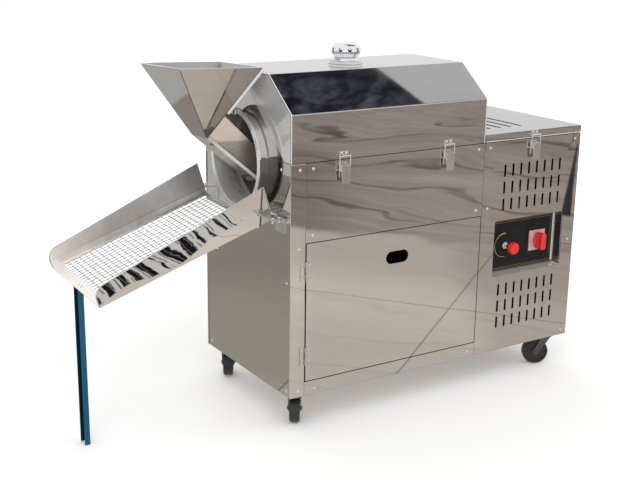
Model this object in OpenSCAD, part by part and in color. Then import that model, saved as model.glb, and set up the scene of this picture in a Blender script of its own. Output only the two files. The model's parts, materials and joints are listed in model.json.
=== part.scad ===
// Gas drum nut roaster on castors, with feed hopper, discharge chute and hinged lid.
// Millimetres. X runs along the cabinet, chute at -X and motor box at +X. The front faces -Y.
// Modules work from the cabinet's front left bottom corner; place() moves them to the part's own origin.

/* [Cabinet] */
// Length of the roasting chamber
main_l = 480; // [440:5:600]
// Length of the motor box
motor_l = 280; // [270:5:360]
// Depth of the cabinet, front to back
body_d = 360; // [350:5:460]
// Height of the fixed walls up to the lid seam
wall_h = 480; // [470:5:560]
// Thickness of the sheet metal
sheet = 1.5; // [1:0.1:2]
// Width of the corner post on the front
post_w = 35; // [25:1:40]
// Set-back of the end panels from the sheet edges
end_inset = 2; // [1:0.5:5]
// Gap between fixed walls and lid or cover
seam = 1; // [0.4:0.1:1.5]

/* [Lid and cover] */
// Height of the lid's upright front
lid_front_h = 95; // [85:1:120]
// Height of the lid's roof over the seam
roof_h = 162; // [160:1:200]
// Depth of each sloped side of the lid
slope_run = 87; // [60:1:110]
// Height of the motor box cover
cover_h = 17.5; // [17:0.5:30]
// Length of the cover's air slots
cover_slot_l = 250; // [100:5:280]
// Radius of the flue collar
flue_r = 36; // [32:1:50]
// Height of the flue collar
flue_h = 13; // [10:1:40]
// Radius of the flue cap
cap_r = 32; // [30:1:45]
// Height of the flue cap
cap_h = 29; // [26:1:50]

/* [Door] */
// Height of the rail under the burner door
rail_h = 30; // [20:1:60]
// Height of the burner door
door_h = 291; // [250:1:300]
// Gap all round the burner door
door_gap = 1.2; // [0.5:0.1:2]
// Depth of the door's folded edges
door_fold = 12; // [6:1:16]
// Length of the sight slot in the door
sight_l = 56; // [20:1:80]
// Width of the sight slot in the door
sight_w = 26; // [10:1:40]
// Height of a hinge leaf
hinge_h = 38; // [30:1:50]

/* [Drum] */
// Height of the drum's axis under the lid seam
axis_drop = 16; // [16:1:30]
// Outer radius of the drum
drum_r = 150; // [130:1:152]
// Radius of the neck that leads into the drum
neck_r = 92; // [80:1:94]
// Radius of the mouth ring
ring_r = 104.5; // [100:0.5:108]
// Width of the mouth ring's turned-back edge
ring_w = 4; // [3:1:16]
// How far the mouth ring stands out of the end panel
ring_out = 25; // [22:1:40]
// Radius of the drum shaft
shaft_r = 8; // [6:0.5:9]
// Height of the drum's flights
flight_h = 25; // [10:1:30]
// Number of flights
flight_n = 6; // [3:1:10]
// Radius of the support rollers
roller_r = 14; // [12:0.5:16]
// Teeth of the drum gear
gear_teeth = 22; // [20:1:22]
// Teeth of the motor pinion
pinion_teeth = 16; // [14:1:20]
// Gear module
gear_module = 2.5; // [2.2:0.1:2.5]

/* [Hopper and chute] */
// Hopper rim, along the cabinet
rim_x = 176; // [150:1:190]
// Hopper rim, across the cabinet
rim_y = 178; // [130:1:200]
// Height of the hopper rim over the drum's axis
rim_z = 190; // [175:1:220]
// Width of the hopper outlet and the trough floor
outlet_w = 66; // [50:1:80]
// Width of the chute
chute_w = 240; // [230:1:260]
// Length of the chute's floor
chute_l = 383; // [300:1:450]
// Fall of the chute in degrees
chute_angle = 18.5; // [14:0.5:20]
// Sideways tilt of the chute in degrees
chute_roll = 3; // [0:0.5:3]
// Chute wall height at the cabinet
chute_wall_in = 71; // [55:1:90]
// Chute wall height at the outlet
chute_wall_out = 40; // [32:1:50]
// Wires across the chute's mesh, one less gap
mesh_across = 22; // [8:1:22]
// Wires along the chute's mesh, one less gap
mesh_along = 15; // [6:1:15]
// Thickness of a mesh wire
wire_t = 1.4; // [1:0.1:2]
// Width of the leg channel
leg_w = 25; // [16:1:40]

/* [Controls] */
// Width of the control recess
recess_w = 202; // [180:1:214]
// Height of the control recess
recess_h = 126; // [90:1:136]
// Depth of the control recess
recess_d = 30; // [24:1:40]
// Radius of the speed knob
knob_r = 13.5; // [10:0.5:20]
// Side of the switch plate
switch_w = 47; // [40:1:56]
// Slots in a row of the motor box front
slot_n = 8; // [4:1:8]
// Height of a slot
slot_h = 27; // [15:1:30]
// Width of a slot
slot_w = 5; // [4:0.5:12]

/* [Castors] */
// Height of the castors
castor_h = 78; // [74:1:100]
// Radius of a castor wheel
wheel_r = 30; // [24:1:32]
// Width of a castor wheel
wheel_w = 22; // [16:1:30]
// Trail of a castor wheel
trail = 22; // [12:1:26]

/* [Hidden] */
$fn = 64;

// Clearances
run_gap = 0.3;
pin_fit = 0.05;
weld = 0.1;

// Cabinet
body_l = main_l + motor_l;
pan_t = 2;
in_front = sheet;
in_back = body_d - sheet;
panel_x = end_inset;
panel_in = panel_x + sheet;
right_in = body_l - sheet;
flange_w = 30;
bulk_x = main_l + 1;
bulk_x1 = bulk_x + sheet;
bulk_flange = 24;

// Drum axis
axis_y = body_d / 2;
axis_z = wall_h - axis_drop;

// Mouth ring and neck
ring_x = panel_x - ring_out - end_inset;
flare = 3;
flare_x = panel_x - 2;
neck_end_x = panel_in + 16.5;

// Drum
tyre_x = panel_in + 10.5;
tyre_l = 19.5;
tyre_clear = 3.5;
tyre_in_r = neck_r + tyre_clear;
tyre_r = tyre_in_r + 5.5;
drum_x0 = tyre_x + tyre_l - sheet;
drum_back = 42;
drum_x1 = main_l - drum_back;
flight_in = 20;

// Support rollers
roller_w = 14;
roller_angle = 40;
roller_reach = tyre_r + roller_r + run_gap;
roller_x = tyre_x + 1;
roller_axle_r = 5;
roller_y = roller_reach * sin(roller_angle);
roller_z = axis_z - roller_reach * cos(roller_angle);

// Drive
hub_r = 30;
hub_t = 8;
bearing_r = 15;
bearing_w = 15;
housing_t = 6;
housing_l = 100;
gear_x = bulk_x1 + bearing_w + 3;
gear_w = 12;
backlash = 0.12;
centre_gap = gear_module * (gear_teeth + pinion_teeth) / 2;
motor_z = axis_z - centre_gap;
motor_x = gear_x + gear_w + 6;
pinion_shaft_r = 6;
gearbox_w = 80;
gearbox_l = 60;
motor_can_r = 36;
motor_can_l = 130;
cowl_l = 25;
cowl_lip = 2;
shelf_t = 3;
shelf_w = 150;
shelf_z = motor_z - gearbox_w / 2 - shelf_t;
shelf_short = 20;
shelf_l = gearbox_l + motor_can_l - shelf_short;
shelf_drop = 60;

// Burner
burner_r = 16;
burner_z = 215;
burner_pitch = 80;
burner_x0 = 60;
burner_back = 40;
burner_x1 = main_l - burner_back;
manifold_gap = 12;
manifold_x = burner_x1 + manifold_gap;
manifold_r = 9;
injector_r = 6;
support_inset = 40;
support_t = 2;
support_arch = 24;
support_foot = 30;
tail_l = 35;
tail_r = 5;

// Lid
lid_z0 = wall_h + seam;
lid_z1 = wall_h + lid_front_h;
roof_z = wall_h + roof_h;
slope_rise = roof_h - lid_front_h;
slope = slope_rise / slope_run;
slope_drop = sheet * sqrt(1 + slope * slope);
arch_clear = 3;
flue_x = main_l / 2;
collar_w = 16;
flue_bore_r = flue_r - collar_w;
cap_wall = 1.5;
spigot_h = 11;
spigot_r = flue_bore_r + 1.5;
cap_hole_r = 4;
cap_holes = 10;
rib_n = 2;

// Cover
cover_x = main_l + 1.5;
cover_z1 = wall_h + cover_h;
cover_slot_w = 8;
cover_slots = 4;
cover_slot_pitch = 30;
cover_slot_in = 60;
cover_slot_x = main_l + cover_slot_in;

// Door and its hinges
door_x0 = post_w + 2 * door_gap;
door_x1 = main_l - door_gap;
door_z0 = rail_h + door_gap;
door_z1 = rail_h + door_h - door_gap;
barrel_r = 3;
barrel_y = -barrel_r - 0.4;
leaf_t = 1.7;
leaf_w = 13;
hinge_pin_r = 1.4;
door_hinge_x = post_w + door_gap;
sight_drop = 58;
hinge_in = 36;
door_hinge_zs = [door_z0 + hinge_in, door_z1 - hinge_in - hinge_h];
lid_hinge_in = 80;
lid_hinge_xs = [lid_hinge_in, main_l - lid_hinge_in - hinge_h];
cover_hinge_in = 60;
cover_hinge_xs = [main_l + cover_hinge_in, body_l - cover_hinge_in - hinge_h];

// Toggle latches
latch_xs = [main_l / 4, main_l * 0.79, main_l + motor_l / 2];
latch_y = -6.5;
lever_drop = 12;
bail_drop = 19;
bail_rise = 8;
lever_pivot_z = wall_h - lever_drop;
bail_pivot_z = wall_h - bail_drop;
bail_bar_z = wall_h + bail_rise;
bail_r = 1.2;
bail_x = 12.3;
lever_pin_r = 1.4;
lever_wall_x = 9.6;
lever_wall_t = 1.2;
lever_t = 1.5;
lever_face_y = -9.5;
lever_top = 3;
lever_l = 36;
lever_tip = 2.5;
ear_x = 8.1;
ear_t = 1.2;
ear_r = 2.5;
latch_plate_t = 1.5;
latch_plate_w = 20;
latch_plate_drop = 23;
latch_plate_rise = 6;
catch_z0 = wall_h + 3;
catch_h = 13.5;
catch_w = 20;
catch_lip = 1.5;
hook_x = 7;
hook_h = 5;
catch_rivet_x = 5.5;
catch_rivet_z = 9.8;
catch_rivet_r = 2.6;

// Hopper: a wedge from a slightly tilted rim down to a foot edge, open into the trough
hopper_gap = 9;
rim_mid_x = -hopper_gap - rim_x / 2;
hopper_rim_z = axis_z + rim_z;
rim_fall = [6, 7.7];
foot_x = -103;
foot_rise = 51;
foot_z = axis_z + foot_rise;
lean = rim_fall[1] / rim_y;
throat = 0.322;
strap_w = 24;
strap_z = axis_z + ring_r - 5;
strap_t = 2;
strap_drop = 9.5;
strap_bolt_drop = 4.8;
strap_x0 = foot_x + (strap_z - foot_z) * (-hopper_gap - foot_x) / (hopper_rim_z - foot_z) - sheet / 2;

// Feed trough: leaning sides, deeper at the hopper than at its end in the drum
trough_end_x = 24;
trough_dip = 56;
trough_end_z = axis_z - trough_dip;
trough_taper = 0.864;

// Chute, in a frame whose X runs down its floor from the cabinet end
chute_gap = 7.6;
chute_drop = 95;
chute_z = axis_z - chute_drop;
chute_round = 24;
chute_floor_in = 20;
chute_flange = 3.5;
chute_flange_z = 20;
window_in = 28;
window_out = 22;
window_side = 6;
mesh_lap = 4;
window_l = chute_l - window_in - window_out;
window_w = chute_w - 2 * window_side;
chute_end_x = -chute_gap - chute_l * cos(chute_angle);
tab_l = 40;
tab_w = 26;
tab_in = [20, 42];
tab_rise = [1, 12];
tab_bolts = [6, 20];
tab_bolt_in = 10;
bracket_t = 2;
bracket_h = 30;
bolt_r = 2.5;

// Leg
leg_d = 11;
leg_t = 2;
leg_in = 0.5;
leg_x = chute_end_x + leg_in;
leg_y = axis_y - 4;

// Controls
recess_x = main_l + motor_l / 2 + 1.5;
recess_z = 239.5;
recess_r = 5;
tray_t = 1.2;
dial_t = 1;
dial_y = recess_d - dial_t;
knob_x = recess_x - 0.22 * recess_w;
knob_z = recess_z - 4.5;
knob_l = 10;
knob_y = -7;
knob_shaft_r = 3;
knob_flutes = 12;
nut_r = 8.5;
nut_t = 4;
pot_r = 12;
pot_l = 22;
switch_x = recess_x + 0.256 * recess_w;
switch_t = 3;
switch_y = dial_y - switch_t;
switch_body_w = 40;
switch_body_l = 45;
switch_shaft_r = 4;
handle_w = 15;
handle_h = 38;
handle_base_r = 12.5;
handle_base_t = 5;
handle_l = 23;

// Slots of the motor box front
slot_pitch = 23;
slot_row_pitch = 38;
slot_rows = 3;
slot_tops = [376.5, 105];

// Cable gland
gland_z = 120;
gland_y_out = 14;
gland_bore_r = 4;
gland_r = 9;

// Castors
castor_in = 33;
castor_plate_w = 52;
castor_plate_t = 2.5;
castor_head_r = 16;
castor_head_t = 5;
king_r = 4;
fork_t = 2;
fork_disc_r = 17;
fork_disc_t = 3;
fork_gap = 0.8;
axle_r = 4;
axle_z = wheel_r - castor_h;
fork_top_z = -castor_plate_t - castor_head_t - run_gap;
castor_xs = [castor_in, body_l - castor_in];
castor_ys = [castor_in, body_d - castor_in];
castor_turn_front = [58, 150];
castor_turn_back = [60, 200];

// Fasteners
screw_r = 3.4;
screw_h = 1.8;
post_screw_drop = 25;
rail_screw_in = [25, 20];
screw_in = 16;
panel_screw_y = 39;
bolt_head_r = 4;
bolt_head_h = 3;
rivet_r = 3;

// Part origin: middle of the overall box, on the floor
chute_rise = sin(chute_angle) * cos(chute_roll);
chute_run = cos(chute_angle);
x_min = -chute_gap - (chute_l - chute_round) * chute_run - (chute_wall_out - chute_round) * chute_rise
        - chute_round * sqrt(chute_run * chute_run + chute_rise * chute_rise);
y_min = lever_face_y - lever_t;
y_max = body_d + tail_l;
x_mid = (x_min + body_l) / 2;
y_mid = (y_min + y_max) / 2;

module place() { translate([-x_mid, -y_mid, castor_h]) children(); }

module steel() { color([0.74, 0.72, 0.69]) place() children(); }

module zinc() { color([0.62, 0.63, 0.64]) place() children(); }

module dark() { color([0.12, 0.12, 0.13]) place() children(); }

module red() { color([0.85, 0.08, 0.1]) place() children(); }

// A cylinder along +X, +Y or +Z from its start point
module rod_x(r, l) { rotate([0, 90, 0]) cylinder(r = r, h = l); }

module rod_y(r, l) { rotate([-90, 0, 0]) cylinder(r = r, h = l); }

// A box given by its two corners
module box(a, b) { translate(a) cube(b - a); }

// Drum frame: local Z along +X from the cabinet's left end, on the drum's axis
module on_axis(x = 0, z = axis_z) { translate([x, axis_y, z]) rotate([90, 0, 90]) children(); }

// A sheet outline in Y and Z, drawn out along X
module along_x(x, t) { translate([x, 0, 0]) rotate([90, 0, 90]) linear_extrude(t) children(); }

// An outline in X and Z, drawn out along +Y from y
module along_y(y, t) { translate([0, y + t, 0]) rotate([90, 0, 0]) linear_extrude(t) children(); }

module obround(l, w) {
  square([l - w, w], center = true);
  for (s = [-1, 1]) translate([s * (l - w) / 2, 0]) circle(d = w);
}

// A low domed head on the face at z = 0
module dome(r, h) {
  ball = (r * r + h * h) / (2 * h);
  intersection() {
    translate([0, 0, h - ball]) sphere(r = ball);
    cylinder(r = r + 1, h = h + 1);
  }
}

module base_pan() {
  steel() box([panel_in, in_front, 0], [right_in, in_back, pan_t]);
}

module corner_posts() {
  steel() {
    box([0, 0, 0], [post_w, sheet, wall_h]);
    box([panel_in, 0, pan_t], [panel_in + sheet, flange_w, wall_h]);
    box([panel_in, in_back - flange_w, pan_t], [panel_in + sheet, in_back, wall_h]);
    box([panel_in, in_back - sheet, pan_t], [panel_in + flange_w, in_back, wall_h]);
    box([right_in - flange_w, in_front, pan_t], [right_in, in_front + sheet, wall_h]);
    box([right_in - sheet, in_front, pan_t], [right_in, in_front + flange_w, wall_h]);
  }
}

module end_panel() {
  steel() difference() {
    box([panel_x, in_front, 0], [panel_in, in_back, wall_h]);
    on_axis(panel_x - 1) cylinder(r = neck_r + weld, h = sheet + 2);
  }
}

module front_panels() {
  steel() {
    box([post_w, 0, rail_h + door_h], [main_l, sheet, wall_h]);
    box([post_w, 0, 0], [main_l, sheet, rail_h]);
  }
}

module rear_wrap() {
  steel() difference() {
    union() {
      box([0, in_back, 0], [body_l, body_d, wall_h]);
      box([right_in, in_front, 0], [body_l, body_d, wall_h]);
    }
    translate([manifold_x, in_back - 1, burner_z]) rod_y(manifold_r + weld, sheet + 2);
    translate([recess_x, in_back - 1, gland_z]) rod_y(gland_r - 2 + weld, sheet + 2);
  }
}

module bulkhead() {
  steel() difference() {
    union() {
      box([bulk_x, in_front, pan_t], [bulk_x1, in_back, wall_h]);
      box([bulk_x, in_front, pan_t], [bulk_x + bulk_flange, in_front + sheet, wall_h]);
      box([bulk_x, in_back - sheet, pan_t], [bulk_x + bulk_flange, in_back, wall_h]);
    }
    on_axis(bulk_x - 1) cylinder(r = shaft_r + 3, h = sheet + 2);
  }
}

module slot_group(z_mid) {
  for (row = [0 : slot_rows - 1], i = [0 : slot_n - 1])
    translate([recess_x + (i - (slot_n - 1) / 2) * slot_pitch, z_mid + (row - 1) * slot_row_pitch])
      rotate(90) obround(slot_h, slot_w);
}

module rounded_rect(w, h, r) {
  square([w - 2 * r, h], center = true);
  square([w, h - 2 * r], center = true);
  for (x = [-1, 1], z = [-1, 1]) translate([x * (w / 2 - r), z * (h / 2 - r)]) circle(r = r);
}

module motor_front_panel() {
  steel() along_y(0, sheet) difference() {
    translate([main_l, 0]) square([motor_l, wall_h]);
    for (z = slot_tops) slot_group(z);
    translate([recess_x, recess_z]) rounded_rect(recess_w, recess_h, recess_r);
  }
}

// Fixed neck that flares to a turned-out lip with a turned-back edge
module mouth_ring() {
  edge_x = ring_x + ring_w;
  mouth_r = neck_r + flare;
  steel() on_axis() rotate_extrude() polygon([
    [mouth_r - sheet, ring_x], [ring_r, ring_x], [ring_r, edge_x], [ring_r - sheet, edge_x],
    [ring_r - sheet, ring_x + sheet], [mouth_r, ring_x + sheet], [neck_r, flare_x],
    [neck_r, neck_end_x], [neck_r - sheet, neck_end_x], [neck_r - sheet, flare_x]
  ]);
}

// Points that hopper and trough share; iy is -1 at the front and 1 at the back, t shrinks them
function rim(ix, iy, t) = [
  rim_mid_x + ix * (rim_x / 2 - 1.2 * t),
  axis_y + iy * (rim_y / 2 - 1.08 * t),
  hopper_rim_z - ix * rim_fall[0] / 2 - iy * (rim_y / 2 - 1.08 * t) * lean
];

function foot(iy, t) = [
  foot_x, axis_y + iy * (outlet_w / 2 - 0.35 * t), foot_z - iy * outlet_w / 2 * lean + 1.84 * t
];

function trough_end(iy) = [
  trough_end_x, axis_y + iy * outlet_w / 2, trough_end_z - iy * outlet_w / 2 * lean
];

// Corner of a trough side, a up its end and b along its floor, moved in by t
function trough_point(iy, a, b, t) =
  foot(iy, 0) + [0, -iy * 1.1 * t, 1.3 * t] + a * throat * (rim(1, iy, 0) - foot(iy, 0))
  + b * (trough_end(iy) - foot(iy, 0));

// Box of two facing quads, each listed anticlockwise from outside the first one
module block(q, r) {
  ring = [[0, 1, 5, 4], [1, 2, 6, 5], [2, 3, 7, 6], [3, 0, 4, 7]];
  polyhedron(concat(q, r), concat([[3, 2, 1, 0], [4, 5, 6, 7]], ring));
}

// Wedge from the rim to the foot edge, shrunk by t and drawn out past its rim
module wedge(t, past) {
  f = foot(-1, t);
  g = foot(1, t);
  top = [for (c = [[-1, -1], [1, -1], [1, 1], [-1, 1]])
    let (low = c[1] < 0 ? f : g) low + (1 + past) * (rim(c[0], c[1], t) - low)];
  polyhedron(concat(top, [f, g]), [[3, 2, 1, 0], [0, 1, 4], [2, 3, 5], [1, 2, 5, 4], [3, 0, 4, 5]]);
}

module hopper() {
  cut_z = foot_z + throat * (hopper_rim_z - foot_z);
  clear = 8;
  steel() {
    difference() {
      wedge(0, 0);
      wedge(sheet, 0.05);
      intersection() {
        translate([clear, 0, 0]) wedge(sheet, 0);
        box([rim_mid_x - rim_x, axis_y - rim_y, foot_z - rim_z], [rim_x, axis_y + rim_y, cut_z]);
      }
    }
    box([strap_x0, axis_y - strap_w / 2, strap_z], [ring_x, axis_y + strap_w / 2, strap_z + strap_t]);
    box([ring_x - sheet, axis_y - strap_w / 2, strap_z - strap_drop],
        [ring_x, axis_y + strap_w / 2, strap_z + strap_t]);
  }
}

module feed_trough() {
  run = 1 - trough_taper * throat * (-hopper_gap - foot_x) / (trough_end_x - foot_x);
  outer = [[0, 0], [0, 1], [trough_taper, run], [1, 0]];
  inner = [[0, -0.1], [0, 1.1], [1.6, 1.1], [1.6, -0.1]];
  steel() difference() {
    block([for (c = outer) trough_point(-1, c[0], c[1], 0)],
          [for (c = outer) trough_point(1, c[0], c[1], 0)]);
    block([for (c = inner) trough_point(-1, c[0], c[1], sheet)],
          [for (c = inner) trough_point(1, c[0], c[1], sheet)]);
  }
}

module chute_frame() {
  translate([-chute_gap, axis_y, chute_z]) rotate([0, chute_angle, 180]) rotate([-chute_roll, 0, 0])
    children();
}

// Near end and height of a fixing tab; s is -1 at the front and 1 at the back
function tab_x0(s) = -chute_gap - tab_in[(s + 1) / 2];

function tab_z(s) = chute_z + tab_rise[(s + 1) / 2];

// Side wall outline from x0: high at the cabinet, low at the outlet, with one rounded corner
module chute_wall(x0) {
  top_x = chute_l - chute_round;
  polygon([[x0, -sheet], [chute_l, -sheet], [chute_l, chute_wall_out - chute_round],
           [top_x, chute_wall_out - chute_round], [top_x, chute_wall_out], [x0, chute_wall_in]]);
  translate([top_x, chute_wall_out - chute_round]) intersection() {
    circle(r = chute_round);
    square(chute_round);
  }
}

module chute_tray() {
  steel() {
    chute_frame() {
      difference() {
        box([chute_floor_in, -chute_w / 2, -sheet], [chute_l, chute_w / 2, 0]);
        box([window_in, -window_w / 2, -sheet - 1], [chute_l - window_out, window_w / 2, 1]);
      }
      along_y(-chute_w / 2 - sheet, sheet) chute_wall(chute_floor_in);
      along_y(chute_w / 2, sheet) chute_wall(0);
      box([0, chute_w / 2, chute_flange_z], [sheet, chute_w / 2 + chute_flange, chute_wall_in]);
    }
    for (s = [-1, 1])
      translate([tab_x0(s), axis_y + s * (chute_w / 2 + tab_l / 2), tab_z(s)])
        translate([0, -tab_l / 2, 0]) cube([tab_w, tab_l, sheet]);
  }
}

module chute_mesh() {
  net_l = window_l + 2 * mesh_lap;
  net_w = window_w + 2 * mesh_lap;
  step_l = (net_l - wire_t) / (mesh_across - 1);
  step_w = (net_w - wire_t) / (mesh_along - 1);
  bite = 0.3;
  color([0.8, 0.8, 0.8]) place() chute_frame()
    translate([window_in - mesh_lap, -net_w / 2, -sheet - wire_t]) {
      for (i = [0 : mesh_across - 1]) translate([i * step_l, 0, 0]) cube([wire_t, net_w, wire_t]);
      for (i = [0 : mesh_along - 1]) translate([0, i * step_w, bite - wire_t]) cube([net_l, wire_t, wire_t]);
    }
}

module chute_brackets() {
  inner = chute_w / 2 + 2 * sheet;
  outer = chute_w / 2 + tab_l;
  zinc() for (s = [-1, 1]) translate([0, axis_y, 0]) {
    low = s > 0 ? inner : -outer;
    high = s > 0 ? outer : -inner;
    box([tab_x0(s), low, tab_z(s) - bracket_t], [panel_x, high, tab_z(s)]);
    box([panel_x - bracket_t, low, tab_z(s) - bracket_h], [panel_x, high, tab_z(s)]);
  }
}

module leg() {
  color([0.04, 0.35, 0.5]) place() difference() {
    box([leg_x, leg_y - leg_w / 2, -castor_h], [leg_x + leg_d, leg_y + leg_w / 2, chute_z]);
    box([leg_x - 1, leg_y - leg_w / 2 + leg_t, -castor_h - 1],
        [leg_x + leg_d - leg_t, leg_y + leg_w / 2 - leg_t, chute_z + 1]);
    chute_frame() box([chute_l - chute_w, -chute_w, -sheet], [chute_l + chute_w, chute_w, chute_l]);
  }
}

module control_tray() {
  steel() difference() {
    along_y(sheet, recess_d - sheet + tray_t) translate([recess_x, recess_z])
      rounded_rect(recess_w + 2 * tray_t, recess_h + 2 * tray_t, recess_r + tray_t);
    along_y(0, recess_d) translate([recess_x, recess_z]) rounded_rect(recess_w, recess_h, recess_r);
    translate([knob_x, recess_d - 1, knob_z]) rod_y(knob_shaft_r + 1.5 + weld, tray_t + 2);
    translate([switch_x, recess_d - 1, knob_z]) rod_y(switch_shaft_r + 1.5 + weld, tray_t + 2);
  }
}

module dial_plate() {
  dark() difference() {
    along_y(dial_y, dial_t) translate([recess_x, recess_z])
      rounded_rect(recess_w - 1, recess_h - 1, recess_r - 0.5);
    translate([knob_x, dial_y - 1, knob_z]) rod_y(knob_shaft_r + 1.5 + weld, dial_t + 2);
    translate([switch_x, dial_y - 1, knob_z]) rod_y(switch_shaft_r + 1.5 + weld, dial_t + 2);
  }
}

// Speed control, rotary switch with its front plate, and cable gland
module electrical_bodies() {
  tray_back = recess_d + tray_t;
  dark() {
    difference() {
      union() {
        translate([knob_x, tray_back, knob_z]) rod_y(pot_r, pot_l);
        translate([knob_x, dial_y - nut_t, knob_z]) rod_y(knob_shaft_r + 1.5, nut_t + dial_t + tray_t + 1);
        translate([knob_x, dial_y - nut_t, knob_z]) rotate([-90, 0, 0])
          cylinder(r = nut_r, h = nut_t, $fn = 6);
      }
      translate([knob_x, dial_y - nut_t - 1, knob_z]) rod_y(knob_shaft_r + pin_fit, nut_t + dial_t + 10);
    }
    difference() {
      union() {
        box([switch_x - switch_body_w / 2, tray_back, knob_z - switch_body_w / 2],
            [switch_x + switch_body_w / 2, tray_back + switch_body_l, knob_z + switch_body_w / 2]);
        box([switch_x - switch_w / 2, switch_y, knob_z - switch_w / 2],
            [switch_x + switch_w / 2, dial_y, knob_z + switch_w / 2]);
        translate([switch_x, switch_y, knob_z]) rod_y(switch_shaft_r + 1.5, tray_back - switch_y + 1);
      }
      translate([switch_x, switch_y - 1, knob_z]) rod_y(switch_shaft_r + pin_fit, tray_back - switch_y + 8);
    }
    translate([recess_x, in_back - 8, gland_z]) difference() {
      union() {
        rod_y(gland_r - 2, 8 + sheet + gland_y_out);
        translate([0, 8 + sheet, 0]) rod_y(gland_r, gland_y_out - 4);
        translate([0, 4, 0]) rod_y(gland_r, 4);
      }
      translate([0, -1, 0]) rod_y(gland_bore_r, 8 + sheet + gland_y_out + 2);
    }
  }
}

module bearing_unit() {
  dark() on_axis(bulk_x1) difference() {
    union() {
      linear_extrude(housing_t) obround(housing_l, 2 * bearing_r);
      cylinder(r = bearing_r, h = bearing_w);
    }
    translate([0, 0, -1]) cylinder(r = shaft_r + pin_fit, h = bearing_w + 2);
  }
}

module gear_motor() {
  can_x = motor_x + gearbox_l;
  color([0.3, 0.32, 0.34]) place() difference() {
    union() {
      box([motor_x, axis_y - gearbox_w / 2, motor_z - gearbox_w / 2],
          [can_x, axis_y + gearbox_w / 2, motor_z + gearbox_w / 2]);
      on_axis(can_x, motor_z) cylinder(r = motor_can_r, h = motor_can_l);
      on_axis(can_x + motor_can_l - cowl_l, motor_z) cylinder(r = motor_can_r + cowl_lip, h = cowl_l);
    }
    on_axis(motor_x - 1, motor_z) cylinder(r = pinion_shaft_r + pin_fit, h = 16);
  }
}

module motor_shelf() {
  shelf_x1 = motor_x + shelf_l;
  steel() {
    box([bulk_x1, axis_y - shelf_w / 2, shelf_z], [shelf_x1, axis_y + shelf_w / 2, shelf_z + shelf_t]);
    box([bulk_x1, axis_y - shelf_w / 2, shelf_z - shelf_drop],
        [bulk_x1 + shelf_t, axis_y + shelf_w / 2, shelf_z + shelf_t]);
    for (y = [axis_y - shelf_w / 2, axis_y + shelf_w / 2 - shelf_t])
      along_y(y, shelf_t)
        polygon([[bulk_x1, shelf_z - shelf_drop], [shelf_x1, shelf_z], [bulk_x1, shelf_z]]);
  }
}

// Stub axles with flanges on the end panel and washers at their tips
module roller_axles() {
  zinc() for (s = [-1, 1]) translate([panel_in, axis_y + s * roller_y, roller_z]) {
    rod_x(12, roller_x - panel_in - run_gap);
    rod_x(roller_axle_r, roller_x + roller_w + run_gap + 2 - panel_in);
    translate([roller_x + roller_w + run_gap - panel_in, 0, 0]) rod_x(roller_axle_r + 3, 2);
  }
}

module burner_tubes() {
  color([0.35, 0.33, 0.32]) place() for (i = [-1 : 1])
    translate([burner_x0, axis_y + i * burner_pitch, burner_z]) difference() {
      rod_x(burner_r, burner_x1 - burner_x0);
      translate([sheet, 0, 0]) rod_x(burner_r - sheet, burner_x1 - burner_x0);
    }
}

// Upright sheet cradles that stand on the base pan
module burner_supports() {
  half = burner_pitch + burner_r + 14;
  steel() for (x = [burner_x0 + support_inset, burner_x1 - support_inset - support_t])
    along_x(x, support_t) difference() {
      translate([axis_y - half, pan_t]) square([2 * half, burner_z - pan_t]);
      translate([axis_y - half + support_foot, pan_t - 1])
        square([2 * (half - support_foot), burner_z - pan_t - burner_r - support_arch]);
      for (i = [-1 : 1]) translate([axis_y + i * burner_pitch, burner_z]) circle(r = burner_r + weld);
    }
}

// Gas pipe along the chamber's right end, its injectors, and the hose tail behind the cabinet
module gas_manifold() {
  y0 = axis_y - burner_pitch - 12;
  color([0.72, 0.55, 0.25]) place() translate([manifold_x, 0, burner_z]) {
    translate([0, y0, 0]) rod_y(manifold_r, body_d + 4 - y0);
    for (i = [-1 : 1]) translate([burner_x1 - manifold_x, axis_y + i * burner_pitch, 0])
      rod_x(injector_r, manifold_x - burner_x1);
    for (i = [-1 : 1]) translate([burner_x1 - manifold_x, axis_y + i * burner_pitch, 0])
      rod_x(burner_r, 2);
    translate([0, body_d, 0]) rotate([-90, 0, 0]) cylinder(r = manifold_r + 3, h = 9, $fn = 6);
    translate([0, body_d, 0]) rod_y(tail_r, tail_l);
  }
}

// Latch base: plate, two ears inside the lever, and the lever's pin
module latch_bases() {
  zinc() for (x = latch_xs) translate([x, 0, 0]) {
    box([-latch_plate_w / 2, -latch_plate_t, lever_pivot_z - latch_plate_drop],
        [latch_plate_w / 2, 0, lever_pivot_z + latch_plate_rise]);
    for (s = [-1, 1]) {
      ear0 = s > 0 ? ear_x : -ear_x - ear_t;
      box([ear0, latch_y, lever_pivot_z - ear_r], [ear0 + ear_t, -latch_plate_t, lever_pivot_z + ear_r]);
      translate([ear0, latch_y, lever_pivot_z]) rod_x(ear_r, ear_t);
    }
    pin_half = lever_wall_x + lever_wall_t;
    translate([-pin_half, latch_y, lever_pivot_z]) rod_x(lever_pin_r, 2 * pin_half);
  }
}

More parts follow.
